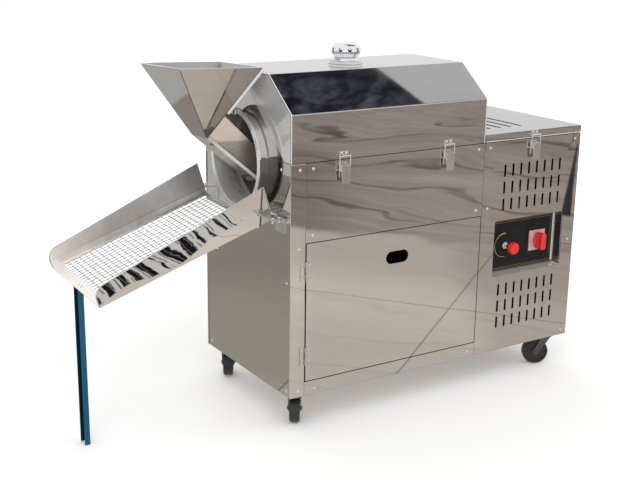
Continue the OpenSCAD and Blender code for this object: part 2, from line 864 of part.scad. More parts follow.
module lever(x) {
  wall_z0 = bail_pivot_z - 3.5;
  wall_z1 = lever_pivot_z + lever_top;
  tip_z = lever_pivot_z + lever_top - lever_l;
  half = lever_wall_x + lever_wall_t;
  zinc() translate([x, 0, 0]) difference() {
    union() {
      along_y(lever_face_y - lever_t, lever_t)
        polygon([[-half, wall_z1], [half, wall_z1], [half, wall_z0], [half - lever_tip, tip_z],
                 [lever_tip - half, tip_z], [-half, wall_z0]]);
      for (s = [-1, 1]) {
        wall0 = s > 0 ? lever_wall_x : -lever_wall_x - lever_wall_t;
        box([wall0, lever_face_y, wall_z0], [wall0 + lever_wall_t, latch_y + 2.9, wall_z1]);
      }
    }
    translate([-half - 1, latch_y, lever_pivot_z]) rod_x(lever_pin_r + pin_fit, 2 * half + 2);
    translate([-half - 1, latch_y, bail_pivot_z]) rod_x(bail_r + pin_fit, 2 * half + 2);
  }
}

// Wire loop: two legs outside the lever, a bar in front of the catch, and ends turned into the lever
module bail(x) {
  end_l = bail_x - lever_wall_x;
  color([0.75, 0.75, 0.76]) place() translate([x, latch_y, 0]) {
    for (s = [-1, 1]) {
      translate([s * bail_x, 0, bail_pivot_z]) cylinder(r = bail_r, h = bail_bar_z - bail_pivot_z);
      translate([s > 0 ? lever_wall_x : -bail_x, 0, bail_pivot_z]) rod_x(bail_r, end_l);
      for (z = [bail_pivot_z, bail_bar_z]) translate([s * bail_x, 0, z]) sphere(r = bail_r);
    }
    translate([-bail_x, 0, bail_bar_z]) rod_x(bail_r, 2 * bail_x);
  }
}

// Catch plate with a ledge and an upturned lip, and two rivets
module catch(x) {
  lip_y = latch_y + bail_r + run_gap;
  translate([x, 0, catch_z0]) {
    box([-catch_w / 2, -catch_lip, 0], [catch_w / 2, 0, catch_h]);
    box([-hook_x, lip_y, 1], [hook_x, -catch_lip, 1 + catch_lip]);
    box([-hook_x, lip_y, 1], [hook_x, lip_y + catch_lip, 1 + hook_h]);
    for (s = [-1, 1]) translate([s * catch_rivet_x, -catch_lip, catch_rivet_z])
      rotate([90, 0, 0]) dome(catch_rivet_r, 1.2);
  }
}

// One side of a butt hinge. Local Z runs up the pin, the fixed leaf lies at -X, the moving one at +X.
module hinge_leaf(fixed) {
  third = hinge_h / 3;
  spans = fixed ? [[0, third], [2 * third, hinge_h]] : [[third + run_gap, 2 * third - run_gap]];
  side = fixed ? -1 : 1;
  reach = barrel_r + 0.6;
  difference() {
    union() {
      for (s = spans) {
        translate([0, barrel_y, s[0]]) cylinder(r = barrel_r, h = s[1] - s[0]);
        translate([side > 0 ? 0.8 : -reach, -leaf_t, s[0]]) cube([reach - 0.8, leaf_t, s[1] - s[0]]);
      }
      translate([side > 0 ? reach : -leaf_w, -leaf_t, 0]) cube([leaf_w - reach, leaf_t, hinge_h]);
      for (z = [hinge_h / 5, hinge_h * 4 / 5])
        translate([side * (leaf_w + reach) / 2, -leaf_t, z]) rotate([90, 0, 0]) dome(2.6, 1.2);
    }
    bore = fixed ? hinge_pin_r - weld : hinge_pin_r + pin_fit;
    translate([0, barrel_y, -1]) cylinder(r = bore, h = hinge_h + 2);
  }
  if (fixed) translate([0, barrel_y, 0]) cylinder(r = hinge_pin_r, h = hinge_h);
}

module at_door_hinges() {
  for (z = door_hinge_zs) translate([door_hinge_x, 0, z]) children();
}

// Hinges on the back, with the pin along +X at the seam
module at_back_hinges(xs) {
  for (x = xs) translate([x, body_d, wall_h + seam / 2]) rotate([0, -90, 180]) children();
}

module hinge_frames() {
  zinc() {
    at_door_hinges() hinge_leaf(true);
    at_back_hinges(concat(lid_hinge_xs, cover_hinge_xs)) hinge_leaf(true);
  }
}

module castor_plates() {
  zinc() for (x = castor_xs, y = castor_ys) translate([x, y, 0]) {
    translate([-castor_plate_w / 2, -castor_plate_w / 2, -castor_plate_t])
      cube([castor_plate_w, castor_plate_w, castor_plate_t]);
    translate([0, 0, -castor_plate_t - castor_head_t]) cylinder(r = castor_head_r, h = castor_head_t);
    translate([0, 0, fork_top_z - fork_disc_t - 1.5]) cylinder(r = king_r, h = castor_head_t + fork_disc_t);
  }
}

module screw_front(x, z) { translate([x, 0, z]) rotate([90, 0, 0]) dome(screw_r, screw_h); }

module screw_left(y, z) { translate([panel_x, y, z]) rotate([0, -90, 0]) dome(screw_r, screw_h); }

module fasteners() {
  top_z = wall_h - 12;
  mid_z = rail_h + door_h + 14;
  low_z = 12;
  zinc() {
    for (z = [low_z, mid_z - post_screw_drop, top_z]) screw_front(post_w * 0.6, z);
    for (x = [post_w + screw_in, main_l - screw_in], z = [mid_z, top_z]) screw_front(x, z);
    for (x = [post_w + rail_screw_in[0], main_l - rail_screw_in[1]]) screw_front(x, low_z);
    for (z = [mid_z, top_z]) screw_front(main_l + screw_in, z);
    for (z = [low_z, recess_z - 6, top_z]) screw_front(body_l - screw_in, z);
    for (y = [screw_in, body_d - screw_in], z = [low_z, wall_h / 2]) screw_left(y, z);
    screw_left(panel_screw_y, wall_h - screw_in);
    for (s = [-1, 1], d = tab_bolts)
      translate([tab_x0(s) + d, axis_y + s * (chute_w / 2 + tab_l - tab_bolt_in), tab_z(s)]) {
        translate([0, 0, sheet]) dome(bolt_head_r, bolt_head_h);
        translate([0, 0, -8]) cylinder(r = bolt_r, h = 6);
      }
    chute_frame() for (y = [-8, 8])
      translate([chute_l - 9, axis_y - leg_y + y, 0]) dome(rivet_r, 1.5);
    translate([ring_x - sheet, axis_y, strap_z - strap_bolt_drop])
      rotate([0, -90, 0]) dome(bolt_head_r, bolt_head_h);
  }
}

// Lid section: t = 0 is the outside, t = sheet the inside
module lid_section(t) {
  knee_z = lid_z1 + slope * t - (t > 0 ? slope_drop : 0);
  top_y = t > 0 ? (slope_rise - sheet + slope_drop) / slope : slope_run;
  polygon([[t, lid_z0], [t, knee_z], [top_y, roof_z - t], [body_d - top_y, roof_z - t],
           [body_d - t, knee_z], [body_d - t, lid_z0]]);
}

module lid_shell() {
  steel() difference() {
    along_x(0, main_l) difference() {
      lid_section(0);
      lid_section(sheet);
      translate([sheet, lid_z0 - 1]) square([body_d - 2 * sheet, 2]);
    }
    translate([flue_x, axis_y, roof_z - 5]) cylinder(r = flue_bore_r, h = 10);
  }
}

module lid_ends() {
  steel() {
    difference() {
      along_x(end_inset, sheet) lid_section(sheet);
      on_axis(0) cylinder(r = neck_r + arch_clear, h = panel_in + 5);
    }
    along_x(main_l - end_inset - sheet, sheet) lid_section(sheet);
  }
}

module lid_fittings() {
  zinc() {
    catch(latch_xs[0]);
    catch(latch_xs[1]);
    at_back_hinges(lid_hinge_xs) hinge_leaf(false);
  }
}

// Ribbed collar on the roof, with a spigot that carries the cap
module flue_collar() {
  rib_step = (flue_h - 4) / rib_n;
  ribs = [for (i = [0 : rib_n - 1]) each [
    [flue_r, 2 + i * rib_step], [flue_r, 2 + (i + 0.6) * rib_step],
    [flue_r - 2, 2 + (i + 0.6) * rib_step], [flue_r - 2, 2 + (i + 1) * rib_step]]];
  color([0.85, 0.85, 0.86]) place() translate([flue_x, axis_y, roof_z]) rotate_extrude()
    polygon(concat([[flue_bore_r, 0], [flue_r, 0]], ribs, [[flue_r - 2, flue_h], [spigot_r, flue_h],
      [spigot_r, flue_h + spigot_h], [flue_bore_r, flue_h + spigot_h]]));
}

// Bulging cap with a flat top, hollow, with a row of round holes
module flue_cap() {
  base_r = spigot_r + run_gap;
  belly_z = cap_h * 0.42;
  top_r = cap_r * 0.6;
  bulge = [for (i = [0 : 12]) let (a = i * 7.5) [top_r + (cap_r - top_r) * cos(a),
           belly_z + (cap_h - belly_z) * sin(a)]];
  color([0.85, 0.85, 0.86]) place() translate([flue_x, axis_y, roof_z + flue_h + run_gap]) difference() {
    rotate_extrude() polygon(concat([[base_r, 0], [base_r + 3, 0], [cap_r, belly_z]], bulge,
      [[0, cap_h], [0, cap_h - cap_wall], [top_r, cap_h - cap_wall],
       [cap_r - 2 * cap_wall, belly_z + 2], [base_r, spigot_h]]));
    for (i = [0 : cap_holes - 1]) rotate(i * 360 / cap_holes)
      translate([base_r + 1, 0, belly_z + 4]) rod_x(cap_hole_r, cap_r);
  }
}

module motor_cover() {
  slot_y = (body_d - cover_slot_l) / 2;
  steel() difference() {
    box([cover_x, 0, lid_z0], [body_l, body_d, cover_z1]);
    box([cover_x + sheet, sheet, lid_z0 - 1], [body_l - sheet, body_d - sheet, cover_z1 - sheet]);
    for (i = [0 : cover_slots - 1])
      translate([cover_slot_x + i * cover_slot_pitch, slot_y + cover_slot_l / 2, cover_z1 - 5])
        linear_extrude(10) rotate(90) obround(cover_slot_l, cover_slot_w);
  }
}

module cover_fittings() {
  zinc() {
    catch(latch_xs[2]);
    at_back_hinges(cover_hinge_xs) hinge_leaf(false);
  }
}

module burner_door() {
  mid_x = (door_x0 + door_x1) / 2;
  sight_z = door_z1 - sight_drop;
  steel() difference() {
    box([door_x0, 0, door_z0], [door_x1, door_fold, door_z1]);
    box([door_x0 + sheet, sheet, door_z0 + sheet], [door_x1 - sheet, door_fold + 1, door_z1 - sheet]);
    along_y(-1, sheet + 2) translate([mid_x, sight_z]) obround(sight_l, sight_w);
  }
}

module door_hinge_leaves() {
  zinc() at_door_hinges() hinge_leaf(false);
}

module speed_knob() {
  red() translate([knob_x, knob_y, knob_z]) {
    difference() {
      rod_y(knob_r, knob_l);
      for (i = [0 : knob_flutes - 1]) rotate([0, i * 360 / knob_flutes, 0])
        translate([knob_r + 1.5, -1, 0]) rod_y(3, knob_l - 3);
    }
    translate([0, knob_l - 1, 0]) rod_y(knob_shaft_r, dial_y + 4 - knob_y - knob_l);
  }
}

module switch_handle() {
  red() translate([switch_x, switch_y - run_gap, knob_z]) {
    translate([0, -handle_base_t, 0]) rod_y(handle_base_r, handle_base_t);
    along_y(-handle_l, handle_l - 1) rounded_rect(handle_w, handle_h, 5);
    translate([0, -1, 0]) rod_y(switch_shaft_r, 8);
  }
}

module drum_shell() {
  steel() on_axis() rotate_extrude() polygon([
    [tyre_in_r, tyre_x], [tyre_r, tyre_x], [tyre_r, drum_x0], [drum_r, drum_x0], [drum_r, drum_x1],
    [0, drum_x1], [0, drum_x1 - sheet], [drum_r - sheet, drum_x1 - sheet],
    [drum_r - sheet, drum_x0 + sheet], [tyre_in_r, drum_x0 + sheet]
  ]);
}

module drum_flights() {
  steel() on_axis() for (i = [0 : flight_n - 1]) rotate((i + 0.5) * 360 / flight_n)
    translate([drum_r - sheet - 2 * pin_fit - flight_h, -1, drum_x0 + flight_in])
      cube([flight_h, 2, drum_x1 - drum_x0 - 2 * flight_in]);
}

module drum_shaft() {
  zinc() {
    on_axis(drum_x1) cylinder(r = hub_r, h = hub_t);
    on_axis(drum_x1) cylinder(r = shaft_r, h = gear_x + gear_w + 3 - drum_x1);
  }
}

function flank_angle(base_r, r) = tan(acos(base_r / r)) * 180 / PI - acos(base_r / r);

// Spur gear outline with a tooth centred on +X
module gear_outline(teeth) {
  pitch_r = gear_module * teeth / 2;
  base_r = pitch_r * cos(20);
  tip_r = pitch_r + gear_module;
  root_r = pitch_r - 1.25 * gear_module;
  half = 90 / teeth + flank_angle(base_r, pitch_r) - backlash / pitch_r * 180 / PI;
  low_r = max(base_r, root_r);
  rs = [for (i = [0 : 5]) low_r + (tip_r - low_r) * i / 5];
  polygon([for (k = [0 : teeth - 1]) let (mid = k * 360 / teeth) each concat(
    [[root_r * cos(mid - half), root_r * sin(mid - half)]],
    [for (r = rs) let (a = mid - half + flank_angle(base_r, r)) [r * cos(a), r * sin(a)]],
    [for (i = [5 : -1 : 0]) let (r = rs[i], a = mid + half - flank_angle(base_r, r))
      [r * cos(a), r * sin(a)]],
    [[root_r * cos(mid + half), root_r * sin(mid + half)]])]);
}

// The gear shows a gap to the pinion below it, and the pinion a tooth
module drum_gear() {
  zinc() on_axis(gear_x) linear_extrude(gear_w) difference() {
    rotate(-90 + 180 / gear_teeth) gear_outline(gear_teeth);
    circle(r = shaft_r + pin_fit);
  }
}

module motor_pinion() {
  zinc() {
    on_axis(gear_x, motor_z) linear_extrude(gear_w) rotate(90) gear_outline(pinion_teeth);
    on_axis(gear_x + gear_w, motor_z) cylinder(r = pinion_shaft_r, h = motor_x + 14 - gear_x - gear_w);
  }
}

module roller(s) {
  dark() translate([roller_x, axis_y + s * roller_y, roller_z]) difference() {
    rod_x(roller_r, roller_w);
    translate([-1, 0, 0]) rod_x(roller_axle_r + pin_fit, roller_w + 2);
  }
}

module roller_front() { roller(-1); }

module roller_back() { roller(1); }

// Castor frame: local Z on the king pin, local X along the trail
module castor_frame(ix, iy) {
  turn = iy == 0 ? castor_turn_front[ix] : castor_turn_back[ix];
  translate([castor_xs[ix], castor_ys[iy], 0]) rotate(turn) children();
}

// Side plate of the fork, from its top disc down to the axle
module fork_side() {
  boss = axle_r + 4;
  translate([trail, axle_z]) circle(r = boss);
  polygon([[-10, fork_top_z - fork_disc_t], [10, fork_top_z - fork_disc_t], [10, fork_top_z],
           [-10, fork_top_z]]);
  polygon([[-10, fork_top_z - fork_disc_t], [trail - boss, axle_z], [trail + boss, axle_z],
           [10, fork_top_z - fork_disc_t]]);
}

module fork(ix, iy) {
  inner = wheel_w / 2 + fork_gap;
  zinc() castor_frame(ix, iy) difference() {
    union() {
      translate([0, 0, fork_top_z - fork_disc_t]) cylinder(r = fork_disc_r, h = fork_disc_t);
      for (y = [-inner - fork_t, inner]) along_y(y, fork_t) fork_side();
      translate([trail, -inner - fork_t - 2.5, axle_z]) rod_y(axle_r, 2 * (inner + fork_t + 2.5));
    }
    translate([0, 0, fork_top_z - fork_disc_t - 5]) cylinder(r = king_r + pin_fit, h = fork_disc_t + 10);
  }
}

// Wheel with a rounded tread and a recessed face
module wheel(ix, iy) {
  crown = 3;
  dark() castor_frame(ix, iy) translate([trail, 0, axle_z]) rotate([90, 0, 0]) rotate_extrude() {
    half = wheel_w / 2;
    polygon([[axle_r + pin_fit, -half], [10, -half], [11, -half + 3], [wheel_r - 7, -half + 3],
             [wheel_r - 6, -half], [wheel_r - crown, -half], [wheel_r, crown - half], [wheel_r, half - crown],
             [wheel_r - crown, half], [wheel_r - 6, half], [wheel_r - 7, half - 3], [11, half - 3],
             [10, half], [axle_r + pin_fit, half]]);
  }
}

base_pan();
corner_posts();
end_panel();
front_panels();
rear_wrap();
bulkhead();
motor_front_panel();
mouth_ring();
hopper();
feed_trough();
chute_tray();
chute_mesh();
chute_brackets();
leg();
control_tray();
dial_plate();
electrical_bodies();
bearing_unit();
gear_motor();
motor_shelf();
roller_axles();
burner_tubes();
burner_supports();
gas_manifold();
latch_bases();
hinge_frames();
castor_plates();
fasteners();
lid_shell();
lid_ends();
lid_fittings();
flue_collar();
flue_cap();
motor_cover();
cover_fittings();
burner_door();
door_hinge_leaves();
lever(latch_xs[0]);  // lever_left
lever(latch_xs[1]);  // lever_right
lever(latch_xs[2]);  // lever_motor
bail(latch_xs[0]);  // bail_left
bail(latch_xs[1]);  // bail_right
bail(latch_xs[2]);  // bail_motor
speed_knob();
switch_handle();
drum_shell();
drum_flights();
drum_shaft();
drum_gear();
motor_pinion();
roller_front();
roller_back();
fork(0, 0);  // fork_front_left
fork(1, 0);  // fork_front_right
fork(0, 1);  // fork_back_left
fork(1, 1);  // fork_back_right
wheel(0, 0);  // wheel_front_left
wheel(1, 0);  // wheel_front_right
wheel(0, 1);  // wheel_back_left
wheel(1, 1);  // wheel_back_right
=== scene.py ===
"""Looks for a castored gas drum nut roaster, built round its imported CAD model."""

import json
import math

import bmesh
import bpy
from bpy.props import FloatProperty, FloatVectorProperty, IntProperty, PointerProperty
from mathutils import Matrix, Vector

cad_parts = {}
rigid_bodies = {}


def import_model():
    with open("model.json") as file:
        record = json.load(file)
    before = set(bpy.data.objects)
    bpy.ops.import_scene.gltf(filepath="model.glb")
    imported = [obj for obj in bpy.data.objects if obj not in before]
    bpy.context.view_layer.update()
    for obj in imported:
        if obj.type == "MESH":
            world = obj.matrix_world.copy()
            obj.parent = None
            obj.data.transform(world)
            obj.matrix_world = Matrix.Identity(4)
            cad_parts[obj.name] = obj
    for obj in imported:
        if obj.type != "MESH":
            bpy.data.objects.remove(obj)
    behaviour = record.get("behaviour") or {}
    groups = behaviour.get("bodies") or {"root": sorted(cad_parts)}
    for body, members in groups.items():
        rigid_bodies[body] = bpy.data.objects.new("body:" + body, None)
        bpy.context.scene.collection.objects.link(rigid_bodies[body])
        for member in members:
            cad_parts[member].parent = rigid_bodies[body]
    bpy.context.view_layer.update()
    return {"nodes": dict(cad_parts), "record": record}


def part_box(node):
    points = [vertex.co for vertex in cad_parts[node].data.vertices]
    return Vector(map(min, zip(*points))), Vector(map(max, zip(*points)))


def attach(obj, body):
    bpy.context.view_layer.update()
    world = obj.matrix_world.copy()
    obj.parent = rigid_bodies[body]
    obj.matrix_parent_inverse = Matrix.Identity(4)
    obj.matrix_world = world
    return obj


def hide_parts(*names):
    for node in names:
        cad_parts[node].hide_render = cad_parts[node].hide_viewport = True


bl_info = {
    "name": "Drum nut roaster",
    "version": (1, 0, 0),
    "blender": (4, 5, 0),
    "location": "View3D > Sidebar > Roaster",
    "description": "Sheet steel, wire mesh, hardware and studio for a drum nut roaster",
    "category": "Object",
}

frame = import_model()
NODES = frame["nodes"]

# The part's own places and sizes, in millimetres from the cabinet's front left bottom corner
CORNER = Vector((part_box("rear_wrap")[0].x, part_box("front_panels")[0].y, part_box("base_pan")[0].z))
SHEET = 1.5
MIDDLE_Y = 180
DRUM_AXIS_Z = 464
LID_SEAM_Z = 480
LID_SHOULDER_Z = 575
LID_ROOF_Y = (87, 273)
WAVY_FROM_Z = 330
CHUTE_ANGLE = math.radians(18.5)
CHUTE_ROLL = math.radians(3)
CHUTE_TOP = (-7.6, MIDDLE_Y, 369)
# Length, width, height of the wall at its inner and outer end, and radius of the wall's outer corner
CHUTE_SIZE = (383, 240, 71, 40, 24)
HEM_INSET = 1.3
# The mesh's length and width, its distance from the chute's upper end and its depth under the floor
MESH_SIZE = (335.0, 230.0)
MESH_START = 27
MESH_DEPTH = 2.7
# The apron's stations down the chute, each with its depth under the floor
APRON = ((30, 9.0), (31, 5.0), (124, 5.0), (125, 9.0))
APRON_INSET = 3
HOPPER_RIM = ((-184.1, 91.8, 660.6), (-9.9, 91.8, 654.6), (-9.9, 268.2, 647), (-184.1, 268.2, 653))
HOPPER_CORNER = (-9, 91, 654.8)
HOPPER_FOOT = (-103, 147, 516.4)
TROUGH_END = (24, 147, 409.4)
# Controls, as x and z
KNOB = (577, 235)
SWITCH = (673.2, 235)
PLATE = (621.5, 239.5)
PLATE_HALF = (100.5, 62.5)
PLATE_FRONT_Y = 29.2

# Radii of the hems, beads and welds that only the looks have
COVER_HEM = 0.9
LID_HEM = 1.6
CHUTE_HEM = 1.2
HOPPER_BEAD = 1.3
HOPPER_WELD = 0.8
RECESS_BEAD = 1.5

# Vertices closer than this, in metres, are one
MERGE = 2e-6
# A face looks along an axis where its normal's share of that axis is above this
FACING = 0.7
BARE_METAL = (0.33, 0.32, 0.3, 1)
# Lays of brushing, as lines per metre along x, y and z
LAY_X = (14, 900, 900)
LAY_Y = (900, 14, 900)
LAY_FOLDED = (60, 700, 700)
LAY_NECK = (300, 60, 60)
# Hollows of the top sheets: depth in metres, and number per metre along each axis
TOP_HOLLOW = (0.0005, (2.6, 2.6, 2.6))


def mm(x, y, z):
    """A point in millimetres from the cabinet's corner, as metres in the part's frame."""
    return CORNER + Vector((x, y, z)) / 1000


def socket_at(node, place):
    """A node's input by its number, or by its name with underscores for spaces."""
    return node.inputs[place if isinstance(place, int) else place.replace("_", " ")]


class Shade:
    """One socket of a tree; Python's operators on it add Math nodes."""

    def __init__(self, owner, socket):
        self.owner = owner
        self.socket = socket

    def math(self, operation, *others):
        return self.owner.add("ShaderNodeMath", {"operation": operation}, self, *others)

    def __add__(self, other):
        return self.math("ADD", other)

    def __sub__(self, other):
        return self.math("SUBTRACT", other)

    def __rsub__(self, other):
        return self.owner.add("ShaderNodeMath", {"operation": "SUBTRACT"}, other, self)

    def __mul__(self, other):
        return self.math("MULTIPLY", other)

    def __truediv__(self, other):
        return self.math("DIVIDE", other)

    def __abs__(self):
        return self.math("ABSOLUTE")

    __radd__ = __add__
    __rmul__ = __mul__

    def sine(self):
        return self.math("SINE")

    def root(self):
        return self.math("SQRT")

    def least(self, other):
        return self.math("MINIMUM", other)

    def most(self, other):
        return self.math("MAXIMUM", other)

    def between(self, low, high):
        """0 below low, 1 above high, smooth in between; low may be the larger."""
        return self.owner.add(
            "ShaderNodeMapRange", {"interpolation_type": "SMOOTHSTEP"}, self, low, high, 0.0, 1.0
        )


class Nodes:
    """A node tree that is written in Python."""

    def __init__(self, tree):
        self.tree = tree

    def add(self, kind, settings=None, *values, out=0, **named):
        """Any node: its settings first, then sockets by place or by name; gives its output out."""
        node = self.tree.nodes.new(kind)
        for key, value in (settings or {}).items():
            setattr(node, key, value)
        for place, value in (*enumerate(values), *named.items()):
            self.feed(socket_at(node, place), value)
        return Shade(self, node.outputs[out])

    def feed(self, socket, value):
        """Links a value or a list of them to a socket, or sets the socket to a plain number or colour."""
        if isinstance(value, (Shade, list)):
            for each in value if isinstance(value, list) else [value]:
                self.tree.links.new(each.socket, socket)
        else:
            socket.default_value = value

    def vector(self, x=0.0, y=0.0, z=0.0):
        return self.add("ShaderNodeCombineXYZ", None, x, y, z)

    def axes(self, vector):
        node = self.add("ShaderNodeSeparateXYZ", None, vector).socket.node
        return [Shade(self, output) for output in node.outputs]


class Finish(Nodes):
    """One procedural material; spot is a point of the piece it is on."""

    def __init__(self, name, **constants):
        self.material = bpy.data.materials.new(name)
        self.material.use_nodes = True
        super().__init__(self.material.node_tree)
        self.shader = self.tree.nodes["Principled BSDF"]
        self.spot = self.add("ShaderNodeTexCoord", out="Object")
        self.give(**constants)

    def give(self, **sockets):
        """Feeds sockets of the surface shader and gives the material."""
        for key, value in sockets.items():
            self.feed(socket_at(self.shader, key), value)
        return self.material

    def place(self):
        """x, y and z in millimetres from the cabinet's corner."""
        return [(axis - start) * 1000.0 for axis, start in zip(self.axes(self.spot), CORNER)]

    def scaled(self, vector, scale):
        return self.add("ShaderNodeMapping", None, vector, Scale=scale)

    def noise(self, vector, scale, detail=2.0, roughness=0.5, distortion=0.0):
        return self.add(
            "ShaderNodeTexNoise", None, Vector=vector, Scale=scale, Detail=detail,
            Roughness=roughness, Distortion=distortion,
        )

    def grain(self, lay):
        """Fine brushing; lay is its lines per metre along each axis."""
        return self.noise(self.scaled(self.spot, lay), 1.0, 3.0, 0.6)

    def smear(self):
        """Marks of wiping."""
        return self.noise(self.spot, 11.0, 4.0, 0.6, 0.6)

    def mix(self, factor, a, b):
        """Colour a where factor is 0, and b where it is 1."""
        node = self.add("ShaderNodeMix", {"data_type": "RGBA"}, factor).socket.node
        # A Mix node has sockets for every kind of data; these are its colours
        self.feed(node.inputs[6], a)
        self.feed(node.inputs[7], b)
        return Shade(self, node.outputs[2])

    def tinted(self, factor, tint, low, high):
        """A tint from low to high times itself."""
        return self.mix(factor, rgba(tint, low), rgba(tint, high))

    def times(self, colour, factor):
        return self.add("ShaderNodeVectorMath", {"operation": "SCALE"}, colour, Scale=factor)

    def bump(self, height, strength, distance):
        return self.add("ShaderNodeBump", None, Strength=strength, Distance=distance, Height=height)


def rgba(colour, factor=1.0):
    """A colour times a factor, as a socket takes it."""
    return (*[min(1.0, c * factor) for c in colour], 1.0)


def sheet_steel(name, tint, rough, lay, hollow, wave):
    """Polished stainless sheet: fine grain along its lay, wiping marks, and hollows that bend reflections."""
    f = Finish(name, Metallic=1.0)
    grain = f.grain(lay)
    cloud = f.noise(f.spot, 7.0, 3.0)
    wipe = f.noise(f.scaled(f.spot, (1.4, 1.4, 6.0)), 5.0, 5.0, 0.6, 0.8)
    hollows = f.noise(f.scaled(f.spot, wave), 1.0, 1.5, 0.4)
    return f.give(
        Base_Color=f.tinted(wipe * 0.65 + grain * 0.35, tint, 0.87, 1.1),
        Roughness=(cloud * 0.8 + grain * 0.7 + 0.3) * rough,
        Normal=f.bump(hollows + grain * 0.0006, 1.0, hollow),
    )


def satin_steel(name, tint, rough, lay, shade=None, metal=0.6):
    """Unpolished sheet with brushing along its lay and smears; shade gives a factor from x, y and z."""
    f = Finish(name, Metallic=metal)
    grain = f.grain(lay)
    smear = f.smear()
    tone = f.tinted(smear * 0.55 + grain * 0.45, tint, 0.8, 1.15)
    if shade:
        tone = f.times(tone, shade(*f.place()))
    return f.give(
        Base_Color=tone,
        Roughness=(grain * 0.5 + smear * 0.5 + 0.5) * rough,
        Normal=f.bump(grain, 0.12, 0.0002),
    )


def painted_chute_shade(x, y, z):
    """Chute's inside: painted shade, paler at the outer end and darker towards the cabinet; blotched; a
    painted highlight in a band along the wall's foot, as on a fold, with a painted shade line at its top.
    """
    f = x.owner
    fold, painted_crease_shade = 14.5, 0.25
    floor_x, floor_z, floor_height = 0.317, 0.948, 358.6
    blotch = f.noise(f.scaled(f.spot, (40, 40, 22)), 1.0, 4.0, 0.65, 0.5)
    # Height over the chute's sloping floor
    above = z * floor_z - x * floor_x - floor_height
    # Painted shade: paler at the outer end, darker towards the cabinet
    fade = 1.6 - x.between(-370, -230) * 0.68 - x.between(-230, -20) * 0.36
    # Painted highlight in a band along the wall's foot, and a painted shade line at its top
    foot = above.between(fold + 0.5, fold - 1.0) * 0.22 + 1.0
    line = abs(above - fold).between(1.6, 0.6)
    return (fade * (blotch * 0.5 + 0.75) * foot - line * painted_crease_shade).least(1.6)


def trough_shade(x, y, z):
    """Feed trough's front: painted reflection, darker low down, and painted shade towards the cabinet."""
    return 1.0 - z.between(512, 505) * 0.45 - x.between(-45, -10) * 0.3


def neck_shade(x, y, z):
    """Mouth's neck: painted shade, darker towards its top under the lid's edge."""
    return 1.1 - z.between(520, 585) * 0.85


def end_sheet(name, tint):
    """Lid end: polished round the mouth, satin above a sloping line over it."""
    f = Finish(name)
    _, y, z = f.place()
    line_slope, line_foot, line_width = 0.857, 453.6, 8.0
    worn = (z - y * line_slope - line_foot).between(0.0, line_width)
    grain = f.grain(LAY_Y)
    smear = f.smear()
    return f.give(
        Base_Color=f.tinted(smear * 0.55 + grain * 0.45, tint, 0.82, 1.14),
        Metallic=1.0 - worn * 0.55,
        Roughness=worn * 0.09 + grain * 0.012 + 0.015,
        Normal=f.bump(smear + grain * worn * 0.1, 0.3, 0.0006),
    )


def plated(name, tint, rough, fleck=180.0):
    """Plated or cast fittings: fine fleck in colour and gloss, with faint handling marks."""
    f = Finish(name, Metallic=1.0)
    speck = f.noise(f.spot, fleck, 3.0, 0.6)
    rub = f.noise(f.spot, 30.0, 2.0)
    return f.give(
        Base_Color=f.tinted(speck * 0.6 + rub * 0.4, tint, 0.8, 1.12),
        Roughness=(rub * 0.9 + speck * 0.5 + 0.3) * rough,
        Normal=f.bump(speck, 0.2, 0.0002),
    )


def enamel(name, tint, rough, chip):
    """Paint with orange peel and small bare chips."""
    f = Finish(name, Specular_IOR_Level=0.2)
    fade = f.noise(f.spot, 12.0, 3.0)
    chips = f.noise(f.spot, 95.0, 4.0, 0.65).between(chip, chip + 0.02)
    peel = f.noise(f.spot, 420.0, 2.0)
    return f.give(
        Base_Color=f.mix(chips, f.tinted(fade, tint, 0.75, 1.25), BARE_METAL),
        Metallic=chips * 0.8,
        Roughness=(fade * 0.6 + 0.7) * rough + chips * 0.2,
        Normal=f.bump(peel - chips, 0.25, 0.0003),
        Coat_Weight=0.1 - chips * 0.1,
    )


def moulded(name, tint, rough, pebble, coat=0.0, lit=0.0):
    """Moulded plastic or rubber with a fine pebble; lit is the share of its colour that it gives off."""
    f = Finish(name, Emission_Color=rgba(tint), Emission_Strength=lit)
    dust = f.noise(f.spot, 26.0, 4.0)
    skin = f.noise(f.spot, 900.0, 2.0)
    if coat:
        f.give(Coat_Weight=(dust * 0.3 + 0.85) * coat)
    return f.give(
        Base_Color=f.tinted(dust, tint, 0.82, 1.2),
        Roughness=(dust * 0.5 + skin * 0.2 + 0.65) * rough,
        Normal=f.bump(skin, pebble, 0.0003),
    )


def drum_steel(name, tint, straw, blue):
    """Drum sheet with straw and blue heat tints and rings from rolling."""
    f = Finish(name, Metallic=0.4)
    heat = f.noise(f.spot, 6.0, 3.0, 0.6)
    ring = f.noise(f.scaled(f.spot, (420, 6, 6)), 1.0, 2.0)
    warm = f.mix(heat.between(0.45, 0.75), rgba(tint), rgba(straw))
    return f.give(
        Base_Color=f.mix(heat.between(0.62, 0.85) * 0.7, warm, rgba(blue)),
        Roughness=ring * 0.2 + heat * 0.15 + 0.2,
        Normal=f.bump(ring * 0.4 + heat * 6.0, 0.6, 0.0003),
    )


